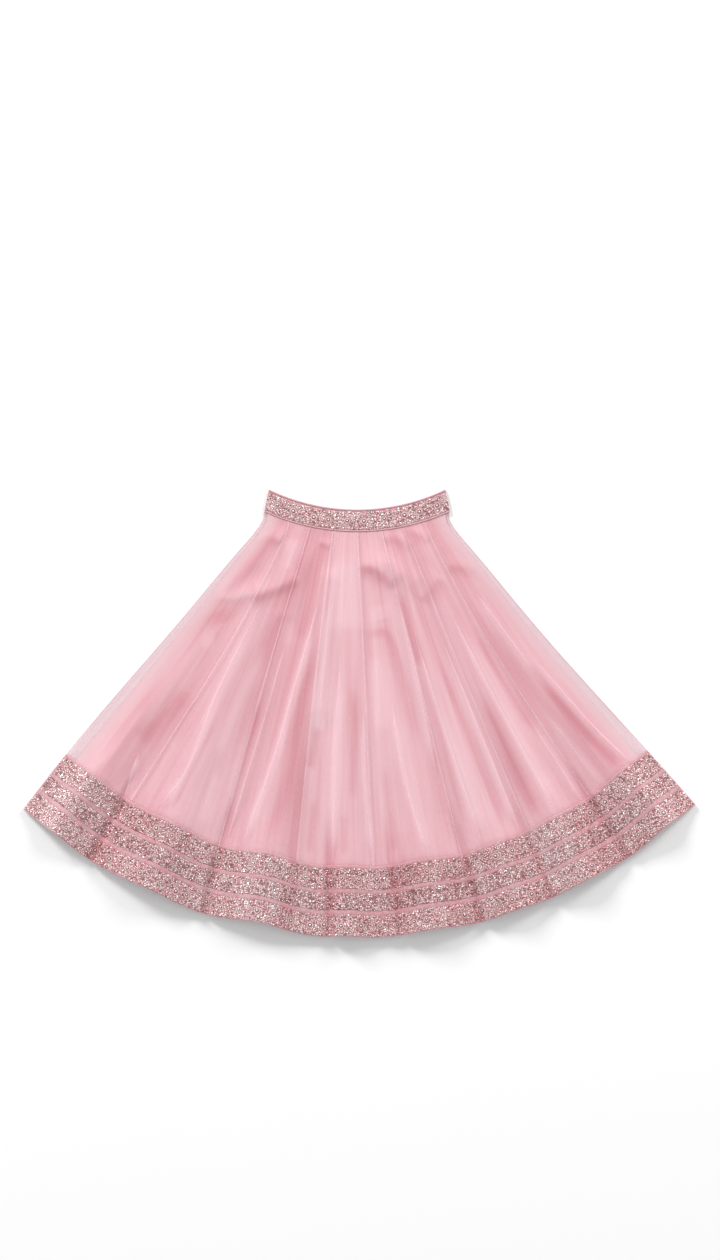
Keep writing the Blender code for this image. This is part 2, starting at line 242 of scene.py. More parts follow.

# A lining fold's painted shadow band: how far below the fold, and how far it reaches up and down.
LINING_SHADE_OFFSET = 0.004
LINING_SHADE_ABOVE = 0.0075
LINING_SHADE_BELOW = 0.027

# Troughs that run down the whole border between its long folds.
TROUGH_COLUMNS = ("top_deg", "hem_deg", "width", "depth", "lean")
TROUGH_ROWS = (
    (-30.6, -30.2, 0.012, 0.0058, 0.4),
    (-17.5, -16.7, 0.013, 0.0066, 0.4),
    (-4.0, -3.0, 0.012, 0.0056, 0.3),
    (3.6, 4.6, 0.010, 0.0040, 0.3),
    (13.0, 13.6, 0.012, 0.0062, -0.3),
    (21.0, 21.5, 0.010, 0.0046, -0.3),
    (29.8, 30.6, 0.012, 0.0060, -0.3),
)
TROUGH_TOP_RADIUS = 0.98
TROUGH_HEM_RADIUS = 1.30
TROUGH_FADE_END = 1.09

# How pale (+) or deep (-) the net of each front panel looks, left to right.
PANEL_TONES = (-0.20, 0.05, -0.25, 0.28, 0.10, 0.05, -0.05, -0.28)
PANEL_TONE_STEP = 0.02

# Shares of what makes the cloth look pale or deep, and the contrast of their sum: painted
# highlight and shade by the folds' height, random tone, and painted shade in the border's troughs.
FOLD_PAINTED_LIGHT = 0.25
FOLD_PAINTED_LIGHT_HEIGHT = 0.012
BROAD_TONE = 0.34
FINE_TONE = 0.22
BAND_TONE = 0.5
TROUGH_PAINTED_SHADE = 0.65
TONE_CONTRAST = 0.42

# Smooth noises over the fan: cell size in degrees and in metres of radius, and seed.
FAN_NOISES = {
    "broad_tone": (2.6, 0.19, 31),
    "fine_tone": (0.8, 0.23, 32),
    "band_tone": (1.7, 0.24, 33),
    "net_wrinkle": (0.9, 0.17, 11),
    "finer_net_wrinkle": (0.42, 0.11, 12),
    "border_ripple": (1.7, 0.3, 21),
}
NOISE_HALF_DEG = 45
NOISE_REACH = 1.4


def rows_as_dicts(columns, rows):
    """Give each row of a table its column names."""
    return [dict(zip(columns, row)) for row in rows]


SEAMS = rows_as_dicts(SEAM_COLUMNS, SEAM_ROWS)
FOLDS = rows_as_dicts(FOLD_COLUMNS, FOLD_ROWS)
STRIPS = rows_as_dicts(STRIP_COLUMNS, STRIP_ROWS)
NET_CREASES = rows_as_dicts(CREASE_COLUMNS, NET_CREASE_ROWS)
LINING_CREASES = rows_as_dicts(CREASE_COLUMNS, LINING_CREASE_ROWS)
TROUGHS = rows_as_dicts(TROUGH_COLUMNS, TROUGH_ROWS)


# Plan of the skirt.

def lerp(a, b, t):
    return a + (b - a) * t


def smooth(value):
    """Ease from 0 to 1."""
    t = np.clip(value, 0, 1)
    return t * t * (3 - 2 * t)


def polar(radius, degrees, centre_y=0.0):
    """Plan place at an angle from straight down, + to the right."""
    angle = np.radians(degrees)
    return radius * np.sin(angle), centre_y - radius * np.cos(angle)


def polar_of(x, y):
    """Angle from straight down, + to the right, and radius of plan places."""
    return np.degrees(np.arctan2(x, -y)), np.hypot(x, y)


def run_length(x, y):
    """Length of a line through plan places."""
    return float(np.hypot(np.diff(x), np.diff(y)).sum())


def seam_value(across, column):
    """A seam table column, read between two seams."""
    return np.interp(across, range(PANELS + 1), [seam[column] for seam in SEAMS])


def hem_radius(degrees):
    """Radius of the hem, which each long fold draws in a little as it rises."""
    drawn_in = 0
    for fold in FOLDS:
        half_deg = math.degrees(fold["width_1"] / HEM_RADIUS)
        from_fold = (degrees - fold["deg_1"]) / half_deg
        drawn_in = drawn_in + fold["draw_in"] * np.exp(-from_fold ** 2)
    side_loss = HEM_RADIUS_LOSS_AT_SIDE * (degrees / HEM_SIDE_DEG) ** 2
    return HEM_RADIUS - side_loss - drawn_in


def plan_place(across, down):
    """Plan place of the skirt, measured from the apex."""
    waist_x, waist_y = polar(WAIST_RADIUS, seam_value(across, "waist_deg"), WAIST_CENTRE_Y)
    hem_deg = seam_value(across, "hem_deg")
    hem_x, hem_y = polar(hem_radius(hem_deg), hem_deg)
    border_start = 1 - BORDER_WIDTH / np.hypot(hem_x - waist_x, hem_y - waist_y)
    along = np.where(down <= 1, down * border_start, lerp(border_start, 1, down - 1))
    bow = seam_value(across, "bow") * np.sin(math.pi * along)
    bow = bow + seam_value(across, "s_bow") * np.sin(2 * math.pi * along)
    from_waist = along / HIP_ALONG
    bow = bow + seam_value(across, "hip") * from_waist * np.exp(1 - from_waist)
    return lerp(waist_x, hem_x, along) + bow, lerp(waist_y, hem_y, along)


def waist_place(across, down):
    """Plan place on the waistband: across 0 to 8, down 0 at its top to 1 at its foot."""
    half = lerp(BAND_TOP_HALF_DEG, BAND_FOOT_HALF_DEG, down)
    radius = lerp(BAND_TOP_RADIUS, WAIST_RADIUS, down)
    return polar(radius, lerp(-half, half, across / PANELS), WAIST_CENTRE_Y)


ACROSS_STEP = 0.01
PATTERN_STEP = 1e-4
PATTERN_ROUNDS = 20
DOWN_RANGE = (0.001, 0.998)
# First guess of a place's down value: radius at the waist seam and length to the border.
GUESS_WAIST_RADIUS = 0.33
GUESS_LENGTH = 0.78


def metres_per_across(across, down):
    """Width of the plan at a place, for one whole panel."""
    x0, y0 = plan_place(across - ACROSS_STEP, down)
    x1, y1 = plan_place(across + ACROSS_STEP, down)
    return np.hypot(x1 - x0, y1 - y0) / (2 * ACROSS_STEP)


def inside_panels(across, down):
    """Places kept just inside the side seams, the waist seam and the border."""
    return np.clip(across, ACROSS_STEP, PANELS - ACROSS_STEP), np.clip(down, *DOWN_RANGE)


def pattern_place(x, y):
    """Across and down of plan places above the border, stepped towards from a first guess."""
    degrees, radius = polar_of(x, y)
    across = (degrees / HEM_SIDE_DEG + 1) * PANELS / 2
    down = (radius - GUESS_WAIST_RADIUS) / GUESS_LENGTH
    step = PATTERN_STEP
    for _ in range(PATTERN_ROUNDS):
        across, down = inside_panels(across, down)
        here_x, here_y = plan_place(across, down)
        right_x, right_y = plan_place(across + step, down)
        below_x, below_y = plan_place(across, down + step)
        a, b = (right_x - here_x) / step, (below_x - here_x) / step
        c, d = (right_y - here_y) / step, (below_y - here_y) / step
        across = across + (d * (x - here_x) - b * (y - here_y)) / (a * d - b * c)
        down = down + (a * (y - here_y) - c * (x - here_x)) / (a * d - b * c)
    return inside_panels(across, down)


def border_strips(embroidered):
    """The border's strips of one kind, each with the down values of its two edges."""
    edges = [1.0]
    for strip in STRIPS:
        edges.append(edges[-1] + strip["width"] / BORDER_WIDTH)
    edges[-1] = 2.0
    return [(strip, head, foot) for strip, head, foot in zip(STRIPS, edges, edges[1:])
            if strip["embroidered"] == embroidered]


# Heights of the cloth.

CURVE_STEPS = 6


def curve_points(path):
    """Plan points of a smooth curve through the places of a path."""
    points = np.array([polar(radius, degrees) for degrees, radius in path])
    if len(points) == 2:
        return points
    before_first, after_last = 2 * points[0] - points[1], 2 * points[-1] - points[-2]
    knots = np.concatenate([[before_first], points, [after_last]])
    curve = [points[0]]
    for before, start, end, after in zip(knots, knots[1:], knots[2:], knots[3:]):
        for step in range(1, CURVE_STEPS + 1):
            t = step / CURVE_STEPS
            squared = 2 * before - 5 * start + 4 * end - after
            cubed = 3 * start - before - 3 * end + after
            curve.append(start + (end - before) * t / 2 + squared * t ** 2 / 2 + cubed * t ** 3 / 2)
    return np.array(curve)


def even_curve(path, step):
    """Points spaced evenly along a path's curve, the direction to its left, and its length."""
    curve = curve_points(path)
    run = np.concatenate([[0], np.cumsum(np.hypot(*np.diff(curve, axis=0).T))])
    stops = np.linspace(0, run[-1], int(run[-1] / step) + 2)
    x, y = (np.interp(stops, run, values) for values in curve.T)
    ahead_x, ahead_y = np.gradient(x), np.gradient(y)
    pace = np.hypot(ahead_x, ahead_y)
    return x, y, -ahead_y / pace, ahead_x / pace, run[-1]


def path_distance(x, y, path):
    """Signed distance to a path (+ on its left) and how far along it, 0 to 1."""
    points = curve_points(path)
    near = np.full(np.shape(x), np.inf)
    signed = np.zeros(np.shape(x))
    along = np.zeros(np.shape(x))
    pieces = len(points) - 1
    for number, ((x0, y0), (x1, y1)) in enumerate(zip(points, points[1:])):
        run_x, run_y = x1 - x0, y1 - y0
        length = math.hypot(run_x, run_y)
        t = np.clip(((x - x0) * run_x + (y - y0) * run_y) / length ** 2, 0, 1)
        distance = np.hypot(x - lerp(x0, x1, t), y - lerp(y0, y1, t))
        side = np.sign(run_x * (y - y0) - run_y * (x - x0))
        closer = distance < near
        near = np.where(closer, distance, near)
        signed = np.where(closer, side * distance, signed)
        along = np.where(closer, (number + t) / pieces, along)
    return signed, along


def long_fold(x, y, fold):
    """Height of one long fold."""
    path = ((fold["deg_0"], fold["radius_0"]), (fold["deg_1"], fold["radius_1"]))
    distance, along = path_distance(x, y, path)
    width = lerp(fold["width_0"], fold["width_1"], along)
    height = lerp(fold["height_0"], fold["height_1"], along)
    return height * np.exp(-(distance / width) ** 2)


def crease_shape(x, y, crease):
    """One crease from 0 to 1, fading in and out at its ends."""
    distance, along = path_distance(x, y, crease["path"])
    width = crease["width"] * (1 + crease["lean"] * np.sign(distance))
    ends = smooth(along / CREASE_START_FADE) * smooth((1 - along) / CREASE_END_FADE)
    return ends * np.exp(-(distance / width) ** 2)


def crease_shade(x, y, crease):
    """The painted shadow band under a lining fold, from 0 to 1: crisp above and soft below."""
    distance, along = path_distance(x, y, crease["path"])
    distance = distance + LINING_SHADE_OFFSET
    width = np.where(distance > 0, LINING_SHADE_ABOVE, LINING_SHADE_BELOW)
    ends = smooth(along / SHADE_START_FADE) * smooth((1 - along) / SHADE_END_FADE)
    return ends * np.exp(-(distance / width) ** 2)


def trough_shape(x, y, trough):
    """One trough of the border from 0 to 1, rising out of the net above."""
    path = ((trough["top_deg"], TROUGH_TOP_RADIUS), (trough["hem_deg"], TROUGH_HEM_RADIUS))
    distance, _ = path_distance(x, y, path)
    width = trough["width"] * (1 + trough["lean"] * np.sign(distance))
    radius = np.hypot(x, y)
    rising = smooth((radius - TROUGH_TOP_RADIUS) / (TROUGH_FADE_END - TROUGH_TOP_RADIUS))
    return rising * np.exp(-(distance / width) ** 2)


def soft_noise(degrees, radius, name):
    """One of the fan's smooth noises, from -1 to 1, drawn out along the panels."""
    cell_deg, cell_radius, seed = FAN_NOISES[name]
    columns, rows = int(2 * NOISE_HALF_DEG / cell_deg) + 3, int(NOISE_REACH / cell_radius) + 3
    grid = np.random.default_rng(seed).uniform(-1, 1, (columns, rows))
    column = (degrees + NOISE_HALF_DEG) / cell_deg
    row = radius / cell_radius
    i, j = np.floor(column).astype(int), np.floor(row).astype(int)
    u, v = smooth(column - i), smooth(row - j)
    upper = lerp(grid[i, j], grid[i + 1, j], u)
    lower = lerp(grid[i, j + 1], grid[i + 1, j + 1], u)
    return lerp(upper, lower, v)


def distances_in(across, down):
    """Distance of a place from the nearer side seam and from the waist seam."""
    x, y = plan_place(across, down)
    side_x, side_y = plan_place(np.where(across < PANELS / 2, 0.0, float(PANELS)), down)
    top_x, top_y = plan_place(across, np.zeros(np.shape(down)))
    return np.hypot(x - side_x, y - side_y), np.hypot(x - top_x, y - top_y)


def long_fold_height(across, down):
    """Height of the long folds, which the net, lining and border share."""
    x, y = plan_place(across, down)
    from_side, from_waist = distances_in(across, down)
    fade = smooth(from_side / SIDE_FADE) * smooth(from_waist / WAIST_FADE)
    folds = CROWN_HEIGHT + sum(long_fold(x, y, fold) for fold in FOLDS)
    sunk = sum(trough["depth"] * trough_shape(x, y, trough) for trough in TROUGHS)
    return fade * np.maximum(folds - sunk, 0)


def tone_and_painted_light(across, down):
    """How pale (1) or deep (0) the layered cloth looks: random tone, plus painted highlight and shade of
    the folds and creases, painted shadow under the lining's folds and painted shade in the border's
    troughs.
    """
    x, y = plan_place(across, down)
    degrees, radius = polar_of(x, y)
    # Painted highlight where the long folds rise and painted shade where they sink.
    tone = FOLD_PAINTED_LIGHT * (long_fold_height(across, down) / FOLD_PAINTED_LIGHT_HEIGHT - 0.5)
    # Net creases: partly the net lying double or parting, partly painted highlight on ridges and painted
    # shade in troughs.
    tone = tone + sum(crease["tone"] * crease_shape(x, y, crease) for crease in NET_CREASES)
    # Painted shadow bands under the lining's folds.
    shade = sum(crease["tone"] * crease_shade(x, y, crease) for crease in LINING_CREASES)
    # Painted shade in the border's troughs.
    sunk = sum(trough_shape(x, y, trough) for trough in TROUGHS)
    panel = np.interp(across, *panel_tone_steps())
    broad = soft_noise(degrees, radius, "broad_tone")
    fine = soft_noise(degrees, radius, "fine_tone")
    band = soft_noise(degrees, radius, "band_tone")
    above_border = 1 - smooth((down - TONES_END) / BORDER_BLEND)
    tone = tone + above_border * (shade + panel) + (1 - above_border) * BAND_TONE * band
    tone = tone + BROAD_TONE * broad + FINE_TONE * fine - TROUGH_PAINTED_SHADE * sunk
    return np.clip(0.5 + TONE_CONTRAST * tone, 0, 1)


def panel_tone_steps():
    """Across values and tones that step at each seam."""
    stops, tones = [], []
    for number, tone in enumerate(PANEL_TONES):
        stops += [number + PANEL_TONE_STEP, number + 1 - PANEL_TONE_STEP]
        tones += [tone, tone]
    return stops, tones


def lining_rise(across, down):
    """Height of the front lining above where it would lie flat."""
    x, y = plan_place(across, down)
    from_side, from_waist = distances_in(across, down)
    fade = smooth(from_side / LINING_SIDE_FADE) * smooth(from_waist / LINING_WAIST_FADE)
    creases = sum(crease["height"] * crease_shape(x, y, crease) for crease in LINING_CREASES)
    return LINING_FOLD_SHARE * long_fold_height(across, down) + fade * creases


def net_rise(across, down, wrinkle):
    """Height of the front net above where it would lie flat: never under the lining."""
    x, y = plan_place(across, down)
    degrees, radius = polar_of(x, y)
    from_side, from_waist = distances_in(across, down)
    fade = smooth(from_side / NET_SIDE_FADE) * smooth(from_waist / NET_WAIST_FADE)
    fade = fade * (1 - smooth((down - CREASES_END) / BORDER_BLEND))
    creases = sum(crease["height"] * crease_shape(x, y, crease) for crease in NET_CREASES)
    growing = smooth((radius - WRINKLE_WAIST_RADIUS) / WRINKLE_GROWTH_RUN)
    growth = lerp(WRINKLE_AT_WAIST, 1.0, growing)
    fine = soft_noise(degrees, radius, "net_wrinkle")
    fine = fine + FINER_WRINKLE * soft_noise(degrees, radius, "finer_net_wrinkle")
    rise = long_fold_height(across, down) + fade * (creases + wrinkle * growth * fine)
    return np.maximum(rise, lining_rise(across, down) - NET_SINK)


def border_rise(across, down):
    """Height of the stiffer border: the long folds and faint ripples."""
    degrees, radius = polar_of(*plan_place(across, down))
    from_side, _ = distances_in(across, down)
    ripple = BORDER_RIPPLE * smooth(from_side / BORDER_SIDE_FADE)
    return long_fold_height(across, down) + ripple * soft_noise(degrees, radius, "border_ripple")


def back_net_top(down):
    """Top of the back net, which climbs onto the border's bands."""
    last_row = 1 / BODY_ROWS
    return BORDER_LIFT * np.clip((down - 1 + last_row) / last_row, 0, 1) + NET_SOLID


def front_net_level(across, down):
    """Top of the front net before its folds: on the lining, and on the back at the sides."""
    left_rise = across / LINING_LEFT
    right_rise = (PANELS - across) / (PANELS - LINING_RIGHT)
    over_lining = STACK_THICK * np.clip(np.minimum(left_rise, right_rise), 0, 1)
    return back_net_top(down) + GAP + over_lining + NET_SOLID


def front_net_top(across, down, wrinkle):
    """Top of the front net, folds and all."""
    return front_net_level(across, down) + net_rise(across, down, wrinkle)


def border_foot(across, down):
    """Underside of the front's border strips."""
    return front_net_level(across, down) + border_rise(across, down) + GAP


# Mesh making.

# Real size of one panel in the fan map, so that its streaks have a scale.
FAN_WIDTH = 0.16
FAN_LENGTH = 0.78
SHARP_EDGE = math.radians(50)


def grid_of(acrosses, downs):
    """Two arrays that give across and down at every grid point."""
    return np.meshgrid(np.asarray(acrosses, float), np.asarray(downs, float))


def points_at(across, down, place, height):
    """Grid points in the frame, from a plan function and heights."""
    x, y = place(across, down)
    return np.stack([x + APEX_X, y + APEX_Y, height + 0 * x], axis=-1)


def shell_faces(rows, columns):
    """Faces of a closed shell over a grid: top, underside and the four rims."""
    top = np.arange(rows * columns).reshape(rows, columns)
    low = top + rows * columns
    above = [top[:-1, :-1], top[1:, :-1], top[1:, 1:], top[:-1, 1:]]
    below = [low[:-1, :-1], low[:-1, 1:], low[1:, 1:], low[1:, :-1]]
    left = [top[1:, 0], top[:-1, 0], low[:-1, 0], low[1:, 0]]
    right = [top[:-1, -1], top[1:, -1], low[1:, -1], low[:-1, -1]]
    head = [top[0, :-1], top[0, 1:], low[0, 1:], low[0, :-1]]
    foot = [top[-1, 1:], top[-1, :-1], low[-1, :-1], low[-1, 1:]]
    sides = (above, below, left, right, head, foot)
    return np.concatenate([np.stack([c.ravel() for c in side], axis=1) for side in sides])


def add_object(name, mesh):
    """Link a new object that rides on the skirt."""
    piece = bpy.data.objects.new(name, mesh)
    bpy.context.scene.collection.objects.link(piece)
    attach(piece, "root")
    return piece


def cloth_shell(name, top, thickness, material, fan=None, **shades):
    """A closed wall of cloth under a grid of top points, with a length-true UV map.

    fan is (across, down), kept as a second UV map that spreads with the panels, and each
    shade is a value from 0 to 1 for every grid point, kept for the material.
    """
    rows, columns = top.shape[:2]
    thickness = np.broadcast_to(thickness, (rows, columns))
    under = top - np.stack([0 * thickness, 0 * thickness, thickness], axis=-1)
    verts = np.concatenate([top.reshape(-1, 3), under.reshape(-1, 3)])
    faces = shell_faces(rows, columns)
    mesh = bpy.data.meshes.new(name)
    mesh.from_pydata(verts.tolist(), [], faces.tolist())
    width = np.linalg.norm(np.diff(top, axis=1), axis=2)
    length = np.linalg.norm(np.diff(top, axis=0), axis=2)
    u = np.concatenate([np.zeros((rows, 1)), np.cumsum(width, axis=1)], axis=1)
    v = np.concatenate([np.zeros((1, columns)), np.cumsum(length, axis=0)], axis=0)
    u = u - u[:, columns // 2:columns // 2 + 1]
    flat = np.stack([u, -v], axis=-1).reshape(-1, 2)
    uv = np.concatenate([flat, flat])[faces.ravel()]
    mesh.uv_layers.new(name="cloth").data.foreach_set("uv", uv.ravel())
    if fan is not None:
        spread = np.stack([fan[0] * FAN_WIDTH, fan[1] * FAN_LENGTH], axis=-1).reshape(-1, 2)
        fan_uv = np.concatenate([spread, spread])[faces.ravel()]
        mesh.uv_layers.new(name="fan").data.foreach_set("uv", fan_uv.ravel())
    for shade, values in shades.items():
        both = np.tile(np.broadcast_to(values, (rows, columns)).ravel(), 2)
        mesh.attributes.new(shade, "FLOAT", "POINT").data.foreach_set("value", both)
    mesh.shade_smooth()
    mesh.set_sharp_from_angle(angle=SHARP_EDGE)
    mesh.materials.append(material)
    return add_object(name, mesh)


def joined_copies(name, templates, choice, sizes, frames, places, materials, slots, tones):
    """One mesh of many small things: each copies a template, scaled, turned and placed."""
    verts, faces, slot_of_face, tone_of_vert = [], [], [], []
    count = 0
    for index, (shape_verts, shape_faces) in enumerate(templates):
        mine = choice == index
        scaled = shape_verts[None, :, :] * sizes[mine][:, None, :]
        turned = np.einsum("nij,nkj->nki", frames[mine], scaled) + places[mine][:, None, :]
        starts = count + np.arange(len(turned)) * len(shape_verts)
        verts.append(turned.reshape(-1, 3))
        tone_of_vert.append(np.repeat(tones[mine], len(shape_verts)))
        for face in shape_faces:
            faces.extend((starts[:, None] + np.asarray(face)[None, :]).tolist())
            slot_of_face.append(slots[mine])
        count += len(turned) * len(shape_verts)
    mesh = bpy.data.meshes.new(name)
    mesh.from_pydata(np.concatenate(verts).tolist(), [], faces)
    for material in materials:
        mesh.materials.append(material)
    mesh.polygons.foreach_set("material_index", np.concatenate(slot_of_face).astype(np.int32))
    mesh.attributes.new("tone", "FLOAT", "POINT").data.foreach_set("value", np.concatenate(tone_of_vert))
    mesh.shade_flat()
    return add_object(name, mesh)


def ring(sides, radius, height, turn=0.0):
    """Points of a level ring."""
    angles = (np.arange(sides) + turn) * 2 * math.pi / sides
    return np.stack([radius * np.cos(angles), radius * np.sin(angles), 0 * angles + height], axis=1)


def stacked_rings(rings):
    """A closed shape through level rings with the same number of sides, capped at both ends."""
    sides = len(rings[0])
    verts = np.concatenate(rings)
    faces = [tuple(range(sides))[::-1]]
    for level in range(len(rings) - 1):
        low, high = level * sides, (level + 1) * sides
        for side in range(sides):
            after = (side + 1) % sides
            faces.append((low + side, low + after, high + after, high + side))
    faces.append(tuple(range((len(rings) - 1) * sides, len(rings) * sides)))
    return verts, faces


def sequin_shape():
    """A cupped sequin, laid with its hollow down."""
    return stacked_rings([ring(7, 1.0, 0.0), ring(7, 0.42, 0.12)])


def seed_bead_shape():
    """A small cut bead."""
    return stacked_rings([ring(5, 0.55, -0.6), ring(5, 1.0, 0.0, 0.5), ring(5, 0.55, 0.6)])


def bugle_shape():
    """A bugle bead: a six-sided tube that lies along X."""
    verts, faces = stacked_rings([ring(6, 1.0, -1.0), ring(6, 1.0, 1.0)])
    return verts[:, [2, 0, 1]], faces


def stone_shape():
    """A cut stone with a flat table."""
    return stacked_rings([ring(8, 0.80, -0.35), ring(8, 1.0, 0.05), ring(8, 0.58, 0.42, 0.5)])


def drop_shape():
    """A pointed leaf-shaped sequin that lies along X."""
    verts, faces = stacked_rings([ring(6, 1.0, 0.0), ring(6, 0.35, 0.14)])
    return verts * np.array([1.5, 0.62, 1.0]), faces


# Materials.

WHITE = (1.0, 1.0, 1.0)
# What a thin layer lets through at the sides, where only the pale table lies beneath.
THIN_LAYER = (0.72, 0.71, 0.71)
# Places of a Mix node's colour sockets, which share their names with its other kinds.
COLOUR_A = 6
COLOUR_B = 7
COLOUR_RESULT = 2
# Painted shade: what is left of a band's or a bead's colour in a trough's shadow.
TROUGH_SHADE = (0.74, 0.50, 0.52)


def new_material(name, colour, roughness, **sockets):
    """A Principled material with a finish set on its own sockets."""
    material = bpy.data.materials.new(name)
    material.use_nodes = True
    shader = material.node_tree.nodes["Principled BSDF"]
    shader.inputs["Base Color"].default_value = (*colour, 1)
    shader.inputs["Roughness"].default_value = roughness
    for socket, value in sockets.items():
        shader.inputs[socket.replace("_", " ")].default_value = value
    material.diffuse_color = (*colour, 1)
    return material


def add_node(material, kind, **values):
    """A node with its values or input defaults set by name."""
    node = material.node_tree.nodes.new(kind)
    for name, value in values.items():
        if hasattr(node, name):
            setattr(node, name, value)
        else:
            node.inputs[name.replace("_", " ")].default_value = value
    return node


def link(material, source, output, target, socket):
    material.node_tree.links.new(source.outputs[output], target.inputs[socket])


def streak_noise(material, width, length):
    """Noise drawn out along the panels, in a map that spreads with them."""
    fan = add_node(material, "ShaderNodeUVMap", uv_map="fan")
    mapping = add_node(material, "ShaderNodeMapping", Scale=(1 / width, 1 / length, 1))
    noise = add_node(material, "ShaderNodeTexNoise", Scale=1.0, Detail=3.0, Roughness=0.55)
    link(material, fan, "UV", mapping, "Vector")
    link(material, mapping, "Vector", noise, "Vector")
    return noise


def math_node(material, operation, first, second):
    """The result of an operation on two values, each a number or a node's output."""
    node = add_node(material, "ShaderNodeMath", operation=operation)
    for socket, value in zip(node.inputs, (first, second)):
        if isinstance(value, (int, float)):
            socket.default_value = value
        else:
            material.node_tree.links.new(value, socket)
    return node.outputs["Value"]


def colour_ramp(material, first, last, first_at=0.0, last_at=1.0):
    """A ramp between two colours."""
    ramp = add_node(material, "ShaderNodeValToRGB")
    for element, colour, position in zip(ramp.color_ramp.elements, (first, last), (first_at, last_at)):
        element.color = (*colour, 1)
        element.position = position
    return ramp


def toned_colour(material, deep, pale, streaks):
    """Cloth colour between deep and pale: by its tone attribute, with the random tone and the painted
    highlight and shade it carries, then by streaks along the panels.

    streaks is a list of (width, length, strength).
    """
    shader = material.node_tree.nodes["Principled BSDF"]
    tone = add_node(material, "ShaderNodeAttribute", attribute_name="tone")
    total = tone.outputs["Fac"]
    for width, length, strength in streaks:
        noise = streak_noise(material, width, length)
        centred = math_node(material, "SUBTRACT", noise.outputs["Fac"], 0.5)
        total = math_node(material, "ADD", total, math_node(material, "MULTIPLY", centred, strength))
    ramp = colour_ramp(material, deep, pale)
    material.node_tree.links.new(total, ramp.inputs["Fac"])
    link(material, ramp, "Color", shader, "Base Color")
    return ramp


# A wave texture of scale 1 repeats after this length.
WAVE_LENGTH = 2 * math.pi / 20


def add_bump(material, height, strength, depth, **values):
    """Bump from a node's output, with its depth in metres."""
    bump = add_node(material, "ShaderNodeBump", Strength=strength, Distance=depth, **values)
    material.node_tree.links.new(height, bump.inputs["Height"])
    link(material, bump, "Normal", material.node_tree.nodes["Principled BSDF"], "Normal")


def woven_bump(material, threads_per_metre, depth, grain):
    """Warp and weft as two crossed waves with some grain, in real lengths."""
    coordinates = add_node(material, "ShaderNodeTexCoord")
    waves = []
    for direction in ("X", "Y"):
        wave = add_node(material, "ShaderNodeTexWave", wave_type="BANDS", bands_direction=direction,
                        Scale=threads_per_metre * WAVE_LENGTH, Distortion=0.6, Detail=1.0)
        link(material, coordinates, "UV", wave, "Vector")
        waves.append(wave.outputs["Fac"])
    crossed = math_node(material, "MAXIMUM", *waves)
    noise = add_node(material, "ShaderNodeTexNoise", Scale=grain, Detail=3.0)
    link(material, coordinates, "UV", noise, "Vector")
    woven = math_node(material, "ADD", crossed, noise.outputs["Fac"])
    add_bump(material, woven, strength=0.35, depth=depth)


def mixed(colour, other, share):
    """A colour part of the way to another."""
    return tuple(lerp(a, b, share) for a, b in zip(colour, other))


SEAM_COVER = 0.42
# The back is seen only at the sides, where the pale table brightens it from beneath.
BACK_COVER = 0.8
# Width, length and strength of the streaks along the panels and along the ribbons.
CLOTH_STREAKS = ((0.030, 0.50, 0.50), (0.009, 0.34, 0.45), (0.0035, 0.12, 0.22), (0.0022, 0.010, 0.40))
RIBBON_STREAKS = ((0.016, 0.09, 1.0), (0.006, 0.028, 2.2), (0.003, 0.014, 2.2))
SEAM_STREAKS = ((0.02, 0.06, 0.8),)


def face_alpha(cover):
    """See-through value of each of a wall's two faces, for the share that both hide."""
    return 1 - math.sqrt(1 - cover)


def net_material(name, colour, deep, cover):
    """Soft sheer net that hides only a share of what lies beneath it, coloured by its tone attribute,
    which on the front panels carries painted highlight and shade.
    """
    material = new_material(name, colour, 0.8, Alpha=face_alpha(cover), Sheen_Weight=0.1,
                            Sheen_Roughness=0.5, Specular_IOR_Level=0.15)
    toned_colour(material, deep, mixed(colour, WHITE, 0.25), CLOTH_STREAKS)
    woven_bump(material, threads_per_metre=900, depth=0.0002, grain=400.0)
    return material


def lining_material(colours):
    """Plain satin lining, coloured by its tone attribute with painted highlight and shade of the folds and
    painted shadow bands under its own folds, and paler at its sides, where one thin layer is left.
    """
    material = new_material("rose_lining", colours.lining, 0.6, Sheen_Weight=0.1,
                            Specular_IOR_Level=0.15)
    shader = material.node_tree.nodes["Principled BSDF"]
    ramp = toned_colour(material, mixed(colours.lining, colours.shade, 0.8),
                        mixed(colours.lining, WHITE, 0.24), CLOTH_STREAKS)
    sides = add_node(material, "ShaderNodeAttribute", attribute_name="inwards")
    blend = add_node(material, "ShaderNodeMix", data_type="RGBA")
    blend.inputs[COLOUR_A].default_value = (*mixed(colours.lining, THIN_LAYER, 0.38), 1)
    link(material, sides, "Fac", blend, "Factor")
    material.node_tree.links.new(ramp.outputs["Color"], blend.inputs[COLOUR_B])
    material.node_tree.links.new(blend.outputs[COLOUR_RESULT], shader.inputs["Base Color"])
    woven_bump(material, threads_per_metre=1400, depth=0.00012, grain=300.0)
    return material


def ribbon_material(colours):
    """Closely woven satin ribbon, coloured by its tone attribute, which on the front's border carries
    painted shade in its troughs and painted highlight on its crests.
    """
    material = new_material("rose_ribbon", colours.ribbon, 0.55, Sheen_Weight=0.1,
                            Specular_IOR_Level=0.3)
    toned_colour(material, mixed(colours.ribbon, colours.shade, 0.85),
                 mixed(colours.ribbon, WHITE, 0.22), RIBBON_STREAKS)
    woven_bump(material, threads_per_metre=1100, depth=0.0002, grain=500.0)
    return material


